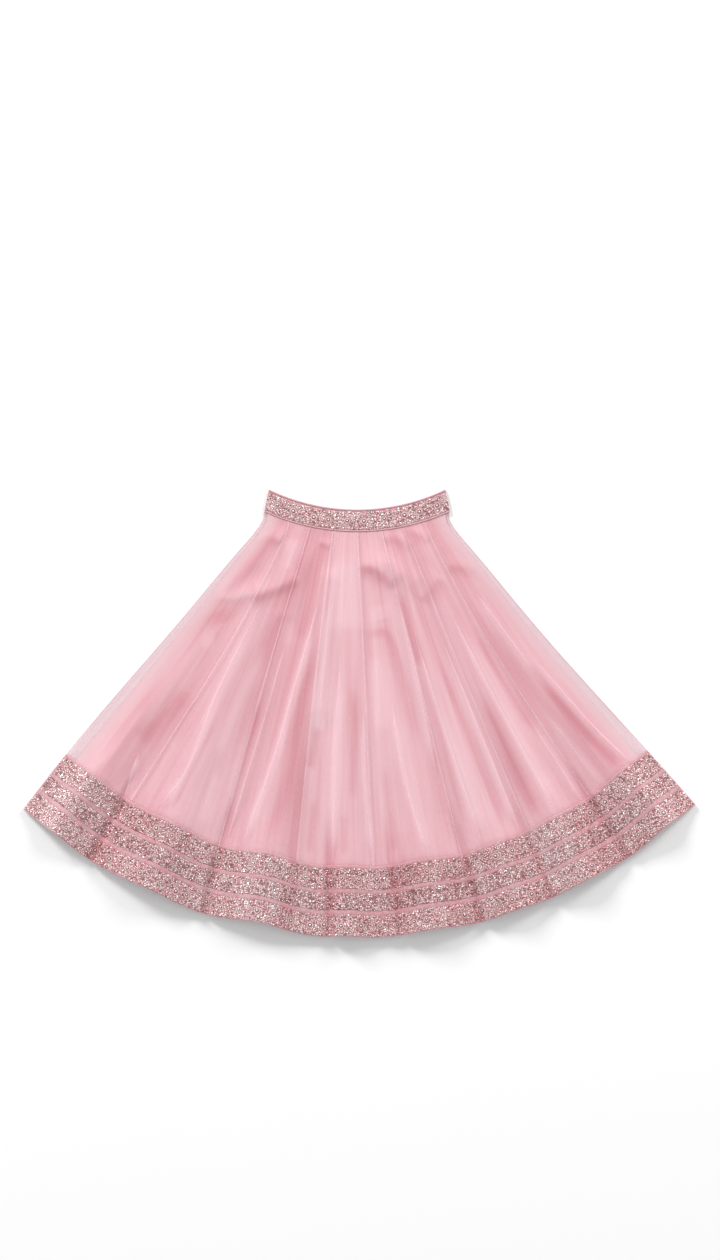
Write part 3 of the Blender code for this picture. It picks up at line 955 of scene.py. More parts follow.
def thread_material(colours):
    """Plied sewing thread, a little paler than the ribbons."""
    material = new_material("rose_thread", colours.ribbon, 0.5, Sheen_Weight=0.4)
    shader = material.node_tree.nodes["Principled BSDF"]
    coordinates = add_node(material, "ShaderNodeTexCoord")
    noise = add_node(material, "ShaderNodeTexNoise", Scale=900.0, Detail=2.0)
    ramp = colour_ramp(material, mixed(colours.ribbon, colours.shade, 0.3),
                       mixed(colours.ribbon, WHITE, 0.4))
    link(material, coordinates, "Object", noise, "Vector")
    link(material, noise, "Fac", ramp, "Fac")
    link(material, ramp, "Color", shader, "Base Color")
    add_bump(material, noise.outputs["Fac"], strength=0.5, depth=0.0001)
    return material


def seam_material(colours):
    """Net folded over itself along a seam, so less of it is seen through."""
    material = new_material("rose_net_seam", colours.seam, 0.7, Alpha=face_alpha(SEAM_COVER),
                            Sheen_Weight=0.1, Specular_IOR_Level=0.2)
    toned_colour(material, mixed(colours.seam, colours.shade, 0.2),
                 mixed(colours.seam, WHITE, 0.25), SEAM_STREAKS)
    return material


def ground_material(colours):
    """Net packed with thread and tiny beads, under the larger beads, with painted shade in the gaps
    between the tiny beads and painted shade where its tone is low, in the border's troughs.
    """
    material = new_material("embroidery_ground", colours.ground, 0.5, Specular_IOR_Level=0.3)
    shader = material.node_tree.nodes["Principled BSDF"]
    coordinates = add_node(material, "ShaderNodeTexCoord")
    cells = add_node(material, "ShaderNodeTexVoronoi", feature="F1", Scale=420.0)
    # Painted shade: darker towards mauve in the gaps between the tiny beads.
    ramp = colour_ramp(material, colours.ground, mixed(colours.ground, colours.mauve, 0.7),
                       first_at=0.22, last_at=0.8)
    tone = add_node(material, "ShaderNodeAttribute", attribute_name="tone")
    # Painted shade by tone: the trough's shade colour where the tone is low, white from 0.7 up.
    folds = colour_ramp(material, TROUGH_SHADE, WHITE, last_at=0.7)
    tinted = add_node(material, "ShaderNodeMix", data_type="RGBA", blend_type="MULTIPLY", Factor=1.0)
    link(material, coordinates, "UV", cells, "Vector")
    link(material, cells, "Distance", ramp, "Fac")
    link(material, tone, "Fac", folds, "Fac")
    material.node_tree.links.new(ramp.outputs["Color"], tinted.inputs[COLOUR_A])
    material.node_tree.links.new(folds.outputs["Color"], tinted.inputs[COLOUR_B])
    material.node_tree.links.new(tinted.outputs[COLOUR_RESULT], shader.inputs["Base Color"])
    add_bump(material, cells.outputs["Distance"], strength=0.8, depth=0.0006, invert=True)
    return material


def bead_material(name, colour, roughness, **sockets):
    """A bead's finish, with painted shade where the cloth sinks into a trough and painted highlight where
    it rises on a crest, made once and then reused.
    """
    if name in bpy.data.materials:
        return bpy.data.materials[name]
    material = new_material(name, colour, roughness, **sockets)
    # Painted shade at low tone, in troughs, and painted highlight at high tone, on crests.
    deep = tuple(value * shade for value, shade in zip(colour, TROUGH_SHADE))
    ramp = toned_colour(material, deep, mixed(colour, WHITE, 0.35), ())
    middle = ramp.color_ramp.elements.new(0.5)
    middle.color = (*colour, 1)
    return material


def bead_materials(colours):
    """The five finishes of the beads and sequins, in the order that the scatter names them."""
    return [
        bead_material("pearl_bead", colours.pearl, 0.32, Coat_Weight=0.3, Coat_Roughness=0.15),
        bead_material("silver_sequin", colours.silver, 0.38, Metallic=0.55),
        bead_material("rose_sequin", colours.rose, 0.38, Metallic=0.4),
        bead_material("mauve_bead", colours.mauve, 0.25, Coat_Weight=0.5, Coat_Roughness=0.1),
        bead_material("clear_stone", colours.stone, 0.08, Metallic=0.35, Specular_IOR_Level=1.0,
                      Coat_Weight=1.0, Coat_Roughness=0.03),
    ]


BEAD_FINISHES = {"pearl": 0, "silver": 1, "rose": 2, "mauve": 3, "stone": 4}


# Sizes and colours that a user may change.

def size(name, description, default, low, high):
    return FloatProperty(name=name, description=description, default=default,
                         min=low, max=high, unit="LENGTH", precision=5)


def colour(name, description, default):
    return FloatVectorProperty(name=name, description=description, default=default,
                               size=3, min=0, max=1, subtype="COLOR")


class SkirtCloth(bpy.types.PropertyGroup):
    """Sizes of the cloth and its trims."""

    net_thickness: size("Net thickness", "Wall of the net panels", 0.0005, 0.0001, 0.0012)
    lining_thickness: size("Lining thickness", "Wall of the lining", 0.0006, 0.0001, 0.0010)
    band_thickness: size("Band thickness", "Wall of the embroidered bands", 0.0010, 0.0003, 0.0020)
    ribbon_thickness: size("Ribbon thickness", "Wall of the ribbons", 0.0010, 0.0003, 0.0016)
    wrinkle: size("Wrinkle height", "Height of the net's fine wrinkles", 0.0009, 0.0, 0.003)
    seam_width: size("Seam width", "Width of a felled panel seam", 0.0032, 0.002, 0.012)
    stitch_length: size("Stitch length", "Length of one stitch", 0.0026, 0.001, 0.006)
    net_cover: FloatProperty(name="Net cover", description="Share of what lies beneath that the net hides",
                             default=0.13, min=0.05, max=0.95, subtype="FACTOR")
    edge_width: size("Lining edge", "Width over which the lining pales at its sides", 0.045, 0.005, 0.1)
    panel_columns: IntProperty(name="Panel columns", description="Grid columns in one panel",
                               default=46, min=8, max=60)
    panel_rows: IntProperty(name="Panel rows", description="Grid rows above the border",
                            default=100, min=10, max=140)


class SkirtBeads(bpy.types.PropertyGroup):
    """Sizes of the beads and their pattern."""

    spacing: size("Bead spacing", "Distance between neighbouring beads", 0.0041, 0.002, 0.02)
    radius: size("Bead radius", "Radius of a sequin", 0.0019, 0.0005, 0.005)
    rosette_spacing: size("Rosette spacing", "Distance between rosettes", 0.041, 0.015, 0.1)
    rosette_radius: size("Rosette radius", "Radius of a rosette's outer ring", 0.0078, 0.003, 0.02)
    tilt: FloatProperty(name="Tilt", description="How far beads may lean", default=math.radians(26),
                        min=0, max=math.radians(60), subtype="ANGLE")
    seed: IntProperty(name="Seed", description="Seed of the scatter", default=7, min=0, max=999)


class SkirtColours(bpy.types.PropertyGroup):
    """Colours of the cloth and beads."""

    net: colour("Net", "Sheer net", (0.95, 0.42, 0.52))
    back: colour("Back net", "Net of the back, which shows at the sides", (0.95, 0.83, 0.86))
    lining: colour("Lining", "Satin lining", (0.755, 0.445, 0.49))
    # The deep end of the cloth's colour ramps, which carries painted shade in creases, troughs and under
    # the lining's folds.
    shade: colour("Shade", "Deeper tone that bunched cloth takes", (0.60, 0.24, 0.28))
    ribbon: colour("Ribbon", "Satin ribbons and bindings", (0.50, 0.24, 0.265))
    seam: colour("Seam", "Felled panel seams", (0.98, 0.62, 0.70))
    ground: colour("Ground", "Embroidered ground under the beads", (0.72, 0.42, 0.44))
    pearl: colour("Pearl", "Pearl beads", (0.92, 0.76, 0.76))
    silver: colour("Silver", "Silver sequins", (0.84, 0.73, 0.72))
    rose: colour("Rose", "Rose sequins", (0.88, 0.50, 0.51))
    mauve: colour("Mauve", "Dark mauve beads", (0.24, 0.105, 0.105))
    stone: colour("Stone", "Cut stones", (0.95, 0.90, 0.91))


class SkirtStage(bpy.types.PropertyGroup):
    """The plain studio round the skirt."""

    floor: colour("Floor", "Plain pale floor", (0.93, 0.93, 0.93))
    key_power: FloatProperty(name="Key light", description="Power of the light from the upper left",
                             default=1550.0, min=0, unit="POWER")
    side_power: FloatProperty(name="Side light", description="Power of the light from the upper right",
                              default=950.0, min=0, unit="POWER")
    sky: FloatProperty(name="Sky", description="Strength of the even light all round",
                       default=0.62, min=0, max=5, subtype="FACTOR")
    lens: FloatProperty(name="Lens", description="Focal length of the camera",
                        default=100.0, min=20, max=300, unit="CAMERA")


def strip_sheet(across, down):
    """Work out a strip's plan places, which nothing uses further."""
    x, y = plan_place(across, down)


def panel_cut(number):
    """Flat cut of one panel: hem width, length and area of the tapered piece."""
    def gap_between(down):
        x0, y0 = plan_place(np.array(float(number)), np.array(down))
        x1, y1 = plan_place(np.array(number + 1.0), np.array(down))
        return float(np.hypot(x1 - x0, y1 - y0))
    middle = np.array(number + 0.5)
    top_x, top_y = plan_place(middle, np.array(0.0))
    foot_x, foot_y = plan_place(middle, np.array(2.0))
    length = float(np.hypot(foot_x - top_x, foot_y - top_y))
    return gap_between(2.0), length, length * (gap_between(0.0) + gap_between(2.0)) / 2


# Gaps at the panel seams, as a share of a panel, and at the waist seam, as a down value.
PANEL_INSET = 0.0007
WAIST_INSET = 0.0003
# Rows are closer near the waist, where the lining's folds run across the panels.
CLOSE_ROWS_END = 0.36
# Grid columns, and rows near the waist, below it and in the border.
BACK_COLUMNS = 8
BACK_ROWS = (12, 20, 6)
FRONT_BORDER_ROWS = 12
LINING_COLUMNS = {"back": 64, "front": 256}
LINING_ROWS = (64, 48, 10)


def panel_acrosses(number, columns):
    """Columns of one panel, a hair inside its seams."""
    return np.linspace(number + PANEL_INSET, number + 1 - PANEL_INSET, columns + 1)


def skirt_downs(waist_rows, body_rows, border_rows, foot=2):
    """Rows from the waist seam to a foot in the border, or to the hem."""
    return np.concatenate([
        np.linspace(WAIST_INSET, CLOSE_ROWS_END, waist_rows + 1),
        np.linspace(CLOSE_ROWS_END, 1, body_rows + 1)[1:],
        np.linspace(1, foot, border_rows + 1)[1:],
    ])


# Operators.

class SkirtOperator:
    """Shared settings of the operators that build the skirt."""

    bl_options = {"REGISTER", "UNDO"}

    @property
    def cloth(self):
        return bpy.context.scene.skirt_cloth

    @property
    def beads(self):
        return bpy.context.scene.skirt_beads

    @property
    def colours(self):
        return bpy.context.scene.skirt_colours

    @property
    def stage(self):
        return bpy.context.scene.skirt_stage

    def front_net(self):
        """Material of the front's net panels and side seams."""
        colours = self.colours
        return shared_material("rose_net", lambda: net_material(
            "rose_net", colours.net, mixed(colours.net, colours.shade, 0.6), self.cloth.net_cover))

    def doubled_net(self):
        """Material of the felled seams and fold edges."""
        return shared_material("rose_net_seam", lambda: seam_material(self.colours))

    def satin(self):
        """Material of the ribbons and bindings."""
        return shared_material("rose_ribbon", lambda: ribbon_material(self.colours))

    def ground(self):
        """Material of the embroidered ground under the beads."""
        return shared_material("embroidery_ground", lambda: ground_material(self.colours))


def shared_material(name, make):
    """The named material, made the first time it is asked for."""
    return bpy.data.materials.get(name) or make()


class SKIRT_OT_back_panels(SkirtOperator, bpy.types.Operator):
    """Lay the eight net panels of the back on the table"""

    bl_idname = "skirt.back_panels"
    bl_label = "Back Panels"

    def execute(self, context):
        colours = self.colours
        net = shared_material("rose_net_back", lambda: net_material(
            "rose_net_back", colours.back, mixed(colours.back, colours.net, 0.15), BACK_COVER))
        downs = skirt_downs(*BACK_ROWS)
        for number in range(PANELS):
            across, down = grid_of(panel_acrosses(number, BACK_COLUMNS), downs)
            top = points_at(across, down, plan_place, back_net_top(down))
            piece = cloth_shell(f"net_panel_back_{number + 1}", top, NET_SOLID, net,
                                fan=(across, down), tone=0.5)
            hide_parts(f"kali_back_{number + 1}")
            width, length, area = panel_cut(number)
        return {"FINISHED"}


class SKIRT_OT_lining(SkirtOperator, bpy.types.Operator):
    """Lay both faces of the satin lining between the net panels"""

    bl_idname = "skirt.lining"
    bl_label = "Lining"

    def execute(self, context):
        cloth = self.cloth
        satin = shared_material("rose_lining", lambda: lining_material(self.colours))
        foot = 2 - LINING_ABOVE_HEM / BORDER_WIDTH
        downs = skirt_downs(*LINING_ROWS, foot)
        for side, columns in LINING_COLUMNS.items():
            across, down = grid_of(np.linspace(LINING_LEFT, LINING_RIGHT, columns + 1), downs)
            height = back_net_top(down) + GAP + LINING_SOLID
            if side == "front":
                height = height + GAP + LINING_SOLID + lining_rise(across, down)
            top = points_at(across, down, plan_place, height)
            inwards = np.minimum(across - across.min(), across.max() - across)
            inwards = inwards * metres_per_across(across, down)
            piece = cloth_shell(f"satin_lining_{side}", top, cloth.lining_thickness, satin,
                                fan=(across, down), tone=tone_and_painted_light(across, down),
                                inwards=smooth(inwards / cloth.edge_width))
            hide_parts(f"lining_{side}")
            x, y = plan_place(across, down)
        return {"FINISHED"}


class SKIRT_OT_front_panels(SkirtOperator, bpy.types.Operator):
    """Lay the eight net panels of the front over the lining, with their creases"""

    bl_idname = "skirt.front_panels"
    bl_label = "Front Panels"

    def execute(self, context):
        cloth = self.cloth
        downs = skirt_downs(cloth.panel_rows // 2, cloth.panel_rows // 2, FRONT_BORDER_ROWS)
        for number in range(PANELS):
            across, down = grid_of(panel_acrosses(number, cloth.panel_columns), downs)
            top = points_at(across, down, plan_place, front_net_top(across, down, cloth.wrinkle))
            piece = cloth_shell(f"net_panel_front_{number + 1}", top, cloth.net_thickness,
                                self.front_net(), fan=(across, down), tone=tone_and_painted_light(across, down))
            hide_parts(f"kali_front_{number + 1}")
            width, length, area = panel_cut(number)
        return {"FINISHED"}


SEAM_END_INSET = 0.002
SEAM_STOPS = 110
SEAM_POINTS_ACROSS = 5
# Height of a felled seam at its middle, and how much lower its edges are.
SEAM_CROWN = 0.0006
SEAM_EDGE_DROP = 0.0003


class SKIRT_OT_panel_seams(SkirtOperator, bpy.types.Operator):
    """Fell the seams between the front's panels and sew them down"""

    bl_idname = "skirt.panel_seams"
    bl_label = "Panel Seams"

    def execute(self, context):
        cloth = self.cloth
        downs = np.linspace(SEAM_END_INSET, 1 - SEAM_END_INSET, SEAM_STOPS)
        for number in range(PANELS + 1):
            seam = np.full(downs.shape, float(number))
            inside = np.clip(seam, ACROSS_STEP, PANELS - ACROSS_STEP)
            share = cloth.seam_width / metres_per_across(inside, downs)
            spread = np.linspace(-0.5, 0.5, SEAM_POINTS_ACROSS)
            if number == 0:
                spread = spread + 0.5
            if number == PANELS:
                spread = spread - 0.5
            across = seam[:, None] + share[:, None] * spread[None, :]
            down = np.repeat(downs[:, None], SEAM_POINTS_ACROSS, axis=1)
            crown = SEAM_CROWN - SEAM_EDGE_DROP * np.linspace(-1, 1, SEAM_POINTS_ACROSS) ** 2
            height = front_net_top(across, down, cloth.wrinkle)
            top = points_at(across, down, plan_place, height + GAP + crown)
            material = self.front_net() if number in (0, PANELS) else self.doubled_net()
            piece = cloth_shell(f"panel_seam_{number}", top, crown[None, :], material,
                                fan=(across, down), tone=0.5)
            length = run_length(*plan_place(seam, downs))
        return {"FINISHED"}


# Net folds at least this high show a pale edge, where the net lies double.
FOLD_EDGE_HEIGHT = 0.0036
FOLD_EDGE_STEP = 0.006
FOLD_EDGE_THICKNESS = 0.0003
# A fold edge narrows to this share over its first and last few steps.
FOLD_EDGE_TIP = 0.4
FOLD_EDGE_TAPER_STEPS = 8


class SKIRT_OT_fold_edges(SkirtOperator, bpy.types.Operator):
    """Lay the net double along the edges of its higher folds"""

    bl_idname = "skirt.fold_edges"
    bl_label = "Fold Edges"

    def execute(self, context):
        cloth = self.cloth
        folds = [crease for crease in NET_CREASES if crease["height"] >= FOLD_EDGE_HEIGHT]
        for number, crease in enumerate(folds, 1):
            x, y, side_x, side_y, length = even_curve(crease["path"], FOLD_EDGE_STEP)
            steps = np.arange(len(x))
            from_end = np.minimum(steps, steps[::-1])
            taper = lerp(FOLD_EDGE_TIP, 1.0, smooth(from_end / FOLD_EDGE_TAPER_STEPS))
            spread = cloth.seam_width * taper[:, None] * np.linspace(-0.5, 0.5, 4)[None, :]
            across, down = pattern_place(x[:, None] + side_x[:, None] * spread,
                                         y[:, None] + side_y[:, None] * spread)
            height = front_net_top(across, down, cloth.wrinkle)
            top = points_at(across, down, plan_place, height + GAP + FOLD_EDGE_THICKNESS)
            piece = cloth_shell(f"net_fold_edge_{number}", top, FOLD_EDGE_THICKNESS,
                                self.doubled_net(), fan=(across, down), tone=0.4)
        return {"FINISHED"}


BORDER_COLUMNS = {"front": 384, "back": 128}
BAND_ROWS = 8
RIBBON_ROWS = 6
BACK_BAND_TONE = 0.7
BACK_RIBBON_TONE = 0.5
# How much thinner a ribbon is at its edges than at its middle, as a share.
RIBBON_ROUNDING = 0.55
HALF_STRIP_GAP = 0.5 * GAP / BORDER_WIDTH


def front_strip(name, kind, downs, thickness, material, with_fan):
    """Sew a border strip over the front net's folds."""
    across, down = grid_of(np.linspace(0, PANELS, BORDER_COLUMNS["front"] + 1), downs)
    top = points_at(across, down, plan_place, border_foot(across, down) + thickness)
    piece = cloth_shell(f"{name}_{kind}_front", top, thickness, material,
                        fan=(across, down) if with_fan else None, tone=tone_and_painted_light(across, down))
    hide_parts(f"{name}_front")
    strip_sheet(across, down)


def back_strip(name, kind, downs, thickness, material, with_fan, tone):
    """Lay a border strip flat, its top level with the back's bands."""
    across, down = grid_of(np.linspace(0, PANELS, BORDER_COLUMNS["back"] + 1), downs)
    top = points_at(across, down, plan_place, np.full(across.shape, BAND_SOLID))
    piece = cloth_shell(f"{name}_{kind}_back", top, thickness, material,
                        fan=(across, down) if with_fan else None, tone=tone)
    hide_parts(f"{name}_back")
    strip_sheet(across, down)


class SKIRT_OT_border_bands(SkirtOperator, bpy.types.Operator):
    """Sew the three embroidered bands onto the front and the back"""

    bl_idname = "skirt.border_bands"
    bl_label = "Border Bands"

    def execute(self, context):
        ground = self.ground()
        for strip, head, foot in border_strips(embroidered=True):
            downs = np.linspace(head + HALF_STRIP_GAP, foot - HALF_STRIP_GAP, BAND_ROWS + 1)
            front_strip(strip["name"], "cloth", downs, self.cloth.band_thickness, ground,
                        with_fan=False)
            back_strip(strip["name"], "cloth", downs, BAND_SOLID, ground,
                       with_fan=False, tone=BACK_BAND_TONE)
        return {"FINISHED"}


class SKIRT_OT_border_ribbons(SkirtOperator, bpy.types.Operator):
    """Sew the plain ribbons and bindings of the border"""

    bl_idname = "skirt.border_ribbons"
    bl_label = "Border Ribbons"

    def execute(self, context):
        satin = self.satin()
        rounded = 1 - RIBBON_ROUNDING * np.linspace(-1, 1, RIBBON_ROWS + 1) ** 4
        thickness = self.cloth.ribbon_thickness * rounded[:, None]
        for strip, head, foot in border_strips(embroidered=False):
            last = foot if foot == 2 else foot - HALF_STRIP_GAP
            downs = np.linspace(head + HALF_STRIP_GAP, last, RIBBON_ROWS + 1)
            front_strip(strip["name"], "satin", downs, thickness, satin, with_fan=True)
            back_strip(strip["name"], "satin", downs, RIBBON_SOLID, satin,
                       with_fan=True, tone=BACK_RIBBON_TONE)
        return {"FINISHED"}


WAIST_STRIP_COLUMNS = ("name", "head", "foot", "embroidered")
WAIST_STRIP_ROWS = (
    ("waist_binding", 0.0, WAIST_BINDING_WIDTH / WAIST_HEIGHT, False),
    ("waistband", WAIST_BINDING_WIDTH / WAIST_HEIGHT, 1 - WAIST_TAPE_WIDTH / WAIST_HEIGHT, True),
    ("waist_tape", 1 - WAIST_TAPE_WIDTH / WAIST_HEIGHT, 1.0, False),
)
WAIST_STRIPS = rows_as_dicts(WAIST_STRIP_COLUMNS, WAIST_STRIP_ROWS)
WAIST_COLUMNS = 160
WAIST_TONE = 0.6
# How far the beaded ground lies under the solid's top, and how far a binding's edges do.
GROUND_DROP = 0.0006
BINDING_EDGE_DROP = 0.0007


def waistband_top(side):
    """Height of the waistband's upper face."""
    return WAISTBAND_SOLID if side == "back" else 2 * WAISTBAND_SOLID + GAP


class SKIRT_OT_waist(SkirtOperator, bpy.types.Operator):
    """Make the waistband with its top binding and lower tape"""

    bl_idname = "skirt.waist"
    bl_label = "Waistband"

    def execute(self, context):
        half_gap = 0.5 * GAP / WAIST_HEIGHT
        for side in ("back", "front"):
            for strip in WAIST_STRIPS:
                head = strip["head"] + (half_gap if strip["head"] > 0 else 0)
                rows = BAND_ROWS if strip["embroidered"] else RIBBON_ROWS
                across, down = grid_of(np.linspace(0, PANELS, WAIST_COLUMNS + 1),
                                       np.linspace(head, strip["foot"] - half_gap, rows + 1))
                if strip["embroidered"]:
                    drop = np.full((rows + 1, 1), GROUND_DROP)
                    material, slot = self.ground(), "embroidery"
                else:
                    drop = BINDING_EDGE_DROP * np.linspace(-1, 1, rows + 1)[:, None] ** 4
                    material, slot = self.satin(), "ribbon"
                top = points_at(across, down, waist_place, waistband_top(side) - drop)
                piece = cloth_shell(f"{strip['name']}_piece_{side}", top, WAISTBAND_SOLID - drop,
                                    material, fan=(across, down), tone=WAIST_TONE)
                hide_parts(f"{strip['name']}_{side}")
                length = run_length(*waist_place(across[rows // 2], down[rows // 2]))
        return {"FINISHED"}


# Beads.

FRAME_STEP = 0.004


def surface_frames(across, down, place, height_of):
    """Points, and the directions along the strip, down it and out of it."""
    here = points_at(across, down, place, height_of(across, down))
    ahead_across, below_down = across + FRAME_STEP, down + FRAME_STEP
    ahead = points_at(ahead_across, down, place, height_of(ahead_across, down))
    below = points_at(across, below_down, place, height_of(across, below_down))
    along = ahead - here
    along = along / np.linalg.norm(along, axis=-1, keepdims=True)
    out = np.cross(below - here, along)
    out = out / np.linalg.norm(out, axis=-1, keepdims=True)
    return here, along, np.cross(out, along), out


def turned_frames(along, side, out, spin, lean, lean_way):
    """Frames spun about the surface's normal and then leaned."""
    x = along * np.cos(spin)[:, None] + side * np.sin(spin)[:, None]
    way = along * np.cos(lean_way)[:, None] + side * np.sin(lean_way)[:, None]
    z = out * np.cos(lean)[:, None] + way * np.sin(lean)[:, None]
    x = x - z * np.sum(x * z, axis=1, keepdims=True)
    x = x / np.linalg.norm(x, axis=1, keepdims=True)
    return np.stack([x, np.cross(z, x), z], axis=2)


FILL_COLUMNS = ("shape", "finish", "scale", "upper", "middle", "lower", "waist")
FILL_ROWS = (
    ("sequin", "silver", 1.00, 0.19, 0.25, 0.19, 0.22),
    ("sequin", "rose", 1.00, 0.20, 0.10, 0.22, 0.14),
    ("sequin", "pearl", 0.95, 0.12, 0.11, 0.15, 0.13),
    ("seed", "pearl", 0.72, 0.12, 0.12, 0.15, 0.13),
    ("seed", "mauve", 0.78, 0.19, 0.24, 0.12, 0.16),
    ("seed", "silver", 0.72, 0.07, 0.09, 0.06, 0.09),
    ("bugle", "rose", 1.00, 0.08, 0.03, 0.09, 0.04),
    ("bugle", "mauve", 0.90, 0.04, 0.06, 0.04, 0.03),
    ("leaf", "pearl", 0.95, 0.03, 0.02, 0.04, 0.04),
    ("stone", "stone", 0.80, 0.010, 0.016, 0.012, 0.025),
)
FILLS = rows_as_dicts(FILL_COLUMNS, FILL_ROWS)
SHAPES = ("sequin", "seed", "bugle", "leaf", "stone")
# Size of each shape against a sequin's radius: along, side and out.
SHAPE_SIZES = {
    "sequin": (1.0, 1.0, 1.0),
    "seed": (1.0, 1.0, 1.0),
    "bugle": (1.35, 0.42, 0.42),
    "leaf": (1.0, 1.0, 1.0),
    "stone": (1.0, 1.0, 1.0),
}


# A bead leans by the tilt setting at this many deviations, and never more than the limit.
TILT_DEVIATIONS = 1.6
LEAN_LIMIT = 0.9
# How far a bead's middle stands off the cloth, as a share of its size.
SEQUIN_LIFT = 0.35
BEAD_LIFT = 0.5


class BeadWork:
    """Collects beads of one strip, then makes them into one piece."""

    def __init__(self, place, height_of, tone_of, beads, rng):
        self.place, self.height_of, self.tone_of = place, height_of, tone_of
        self.beads, self.rng = beads, rng
        keys = ("across", "down", "shape", "finish", "size", "spin", "lean")
        self.columns = {key: [] for key in keys}

    def add(self, across, down, shape, finish, size, lean=None):
        """Add beads of one shape and finish, turned at random, and leaned so if lean is None."""
        count = len(across)
        spin = self.rng.uniform(0, 2 * math.pi, count)
        if lean is None:
            lean = np.abs(self.rng.normal(0, self.beads.tilt / TILT_DEVIATIONS, count))
        values = (across, down, shape, finish, size, spin, lean)
        for column, value in zip(self.columns.values(), values):
            column.append(np.broadcast_to(np.asarray(value, float), count))

    def make(self, name, materials):
        data = {key: np.concatenate(value) for key, value in self.columns.items()}
        here, along, side, out = surface_frames(data["across"], data["down"],
                                                self.place, self.height_of)
        lean_way = self.rng.uniform(0, 2 * math.pi, len(here))
        lean = np.minimum(data["lean"], LEAN_LIMIT)
        frames = turned_frames(along, side, out, data["spin"], lean, lean_way)
        ratios = np.array([SHAPE_SIZES[shape] for shape in SHAPES])[data["shape"].astype(int)]
        sizes = ratios * (data["size"] * self.beads.radius)[:, None]
        lift = np.where(data["shape"] == SHAPES.index("sequin"), SEQUIN_LIFT, BEAD_LIFT)
        lift = lift * data["size"] * self.beads.radius
        templates = [sequin_shape(), seed_bead_shape(), bugle_shape(), drop_shape(), stone_shape()]
        return joined_copies(name, templates, data["shape"].astype(int), sizes, frames,
                             here + out * lift[:, None], materials, data["finish"].astype(int),
                             self.tone_of(data["across"], data["down"]))


MEASURE_STOPS = 1200
# How far a row of beads or stitches stays inside the sides, in panels.
ROW_INSET = 0.01


def even_places(place, down, spacing, inset=ROW_INSET):
    """Across values spaced evenly by length along one line of a strip, and its length."""
    fine = np.linspace(inset, PANELS - inset, MEASURE_STOPS)
    x, y = place(fine, np.full(fine.shape, down))
    run = np.concatenate([[0], np.cumsum(np.hypot(np.diff(x), np.diff(y)))])
    count = max(2, int(run[-1] / spacing))
    stops = (np.arange(count) + 0.5) / count * run[-1]
    return np.interp(stops, run, fine), run[-1]


ROSETTE_COLUMNS = ("beads", "reach", "turn", "shape", "finish", "size")
ROSETTE_ROWS = (
    (1, 0.0, 0.0, "stone", "pearl", 1.25),
    (9, 0.42, 0.0, "seed", "mauve", 0.84),
    (12, 0.76, 0.5, "sequin", "pearl", 0.72),
    (17, 1.06, 0.0, "seed", "rose", 0.58),
)
ROSETTES = rows_as_dicts(ROSETTE_COLUMNS, ROSETTE_ROWS)
ROSETTE_INSET = 0.05
# Rosettes vary in place, as a share of the closest two's distance, in level and in scale.
ROSETTE_SHIFT = 0.20
ROSETTE_LEVEL_SHIFT = 0.0022
ROSETTE_SCALES = (0.80, 1.10)
ROSETTE_LEAN = 0.12
ROSETTE_CLEARANCE = 1.25


def add_rosettes(work, place, middle, metres_down, spacing, radius):
    """Rosettes of ringed beads along the middle of a strip; gives their places and reach."""
    centres, _ = even_places(place, middle, spacing, ROSETTE_INSET)
    count = len(centres)
    shift = work.rng.uniform(-ROSETTE_SHIFT, ROSETTE_SHIFT, count)
    centres = centres + np.diff(centres).min() * shift
    level_shift = work.rng.uniform(-ROSETTE_LEVEL_SHIFT, ROSETTE_LEVEL_SHIFT, count)
    level = middle + level_shift / metres_down
    scales = work.rng.uniform(*ROSETTE_SCALES, count)
    x0, y0 = place(centres, level)
    x1, y1 = place(centres + ACROSS_STEP, level)
    per_metre = ACROSS_STEP / np.hypot(x1 - x0, y1 - y0)
    for rank in ROSETTES:
        for bead in range(rank["beads"]):
            angle = 2 * math.pi * (bead + rank["turn"]) / rank["beads"]
            reach = radius * rank["reach"] * scales
            work.add(centres + per_metre * reach * math.cos(angle),
                     level + reach * math.sin(angle) / metres_down,
                     SHAPES.index(rank["shape"]), BEAD_FINISHES[rank["finish"]],
                     rank["size"] * scales, lean=ROSETTE_LEAN)
    return centres, level, ROSETTE_CLEARANCE * radius * scales


# The fill's rows stand a little closer than its beads do. Its jitter is in bead spacings.
FILL_ROW_SHARE = 0.87
FILL_ACROSS_JITTER = 0.24
FILL_DOWN_JITTER = 0.2
FILL_SCALES = (0.82, 1.12)
FILL_INSET = 0.012


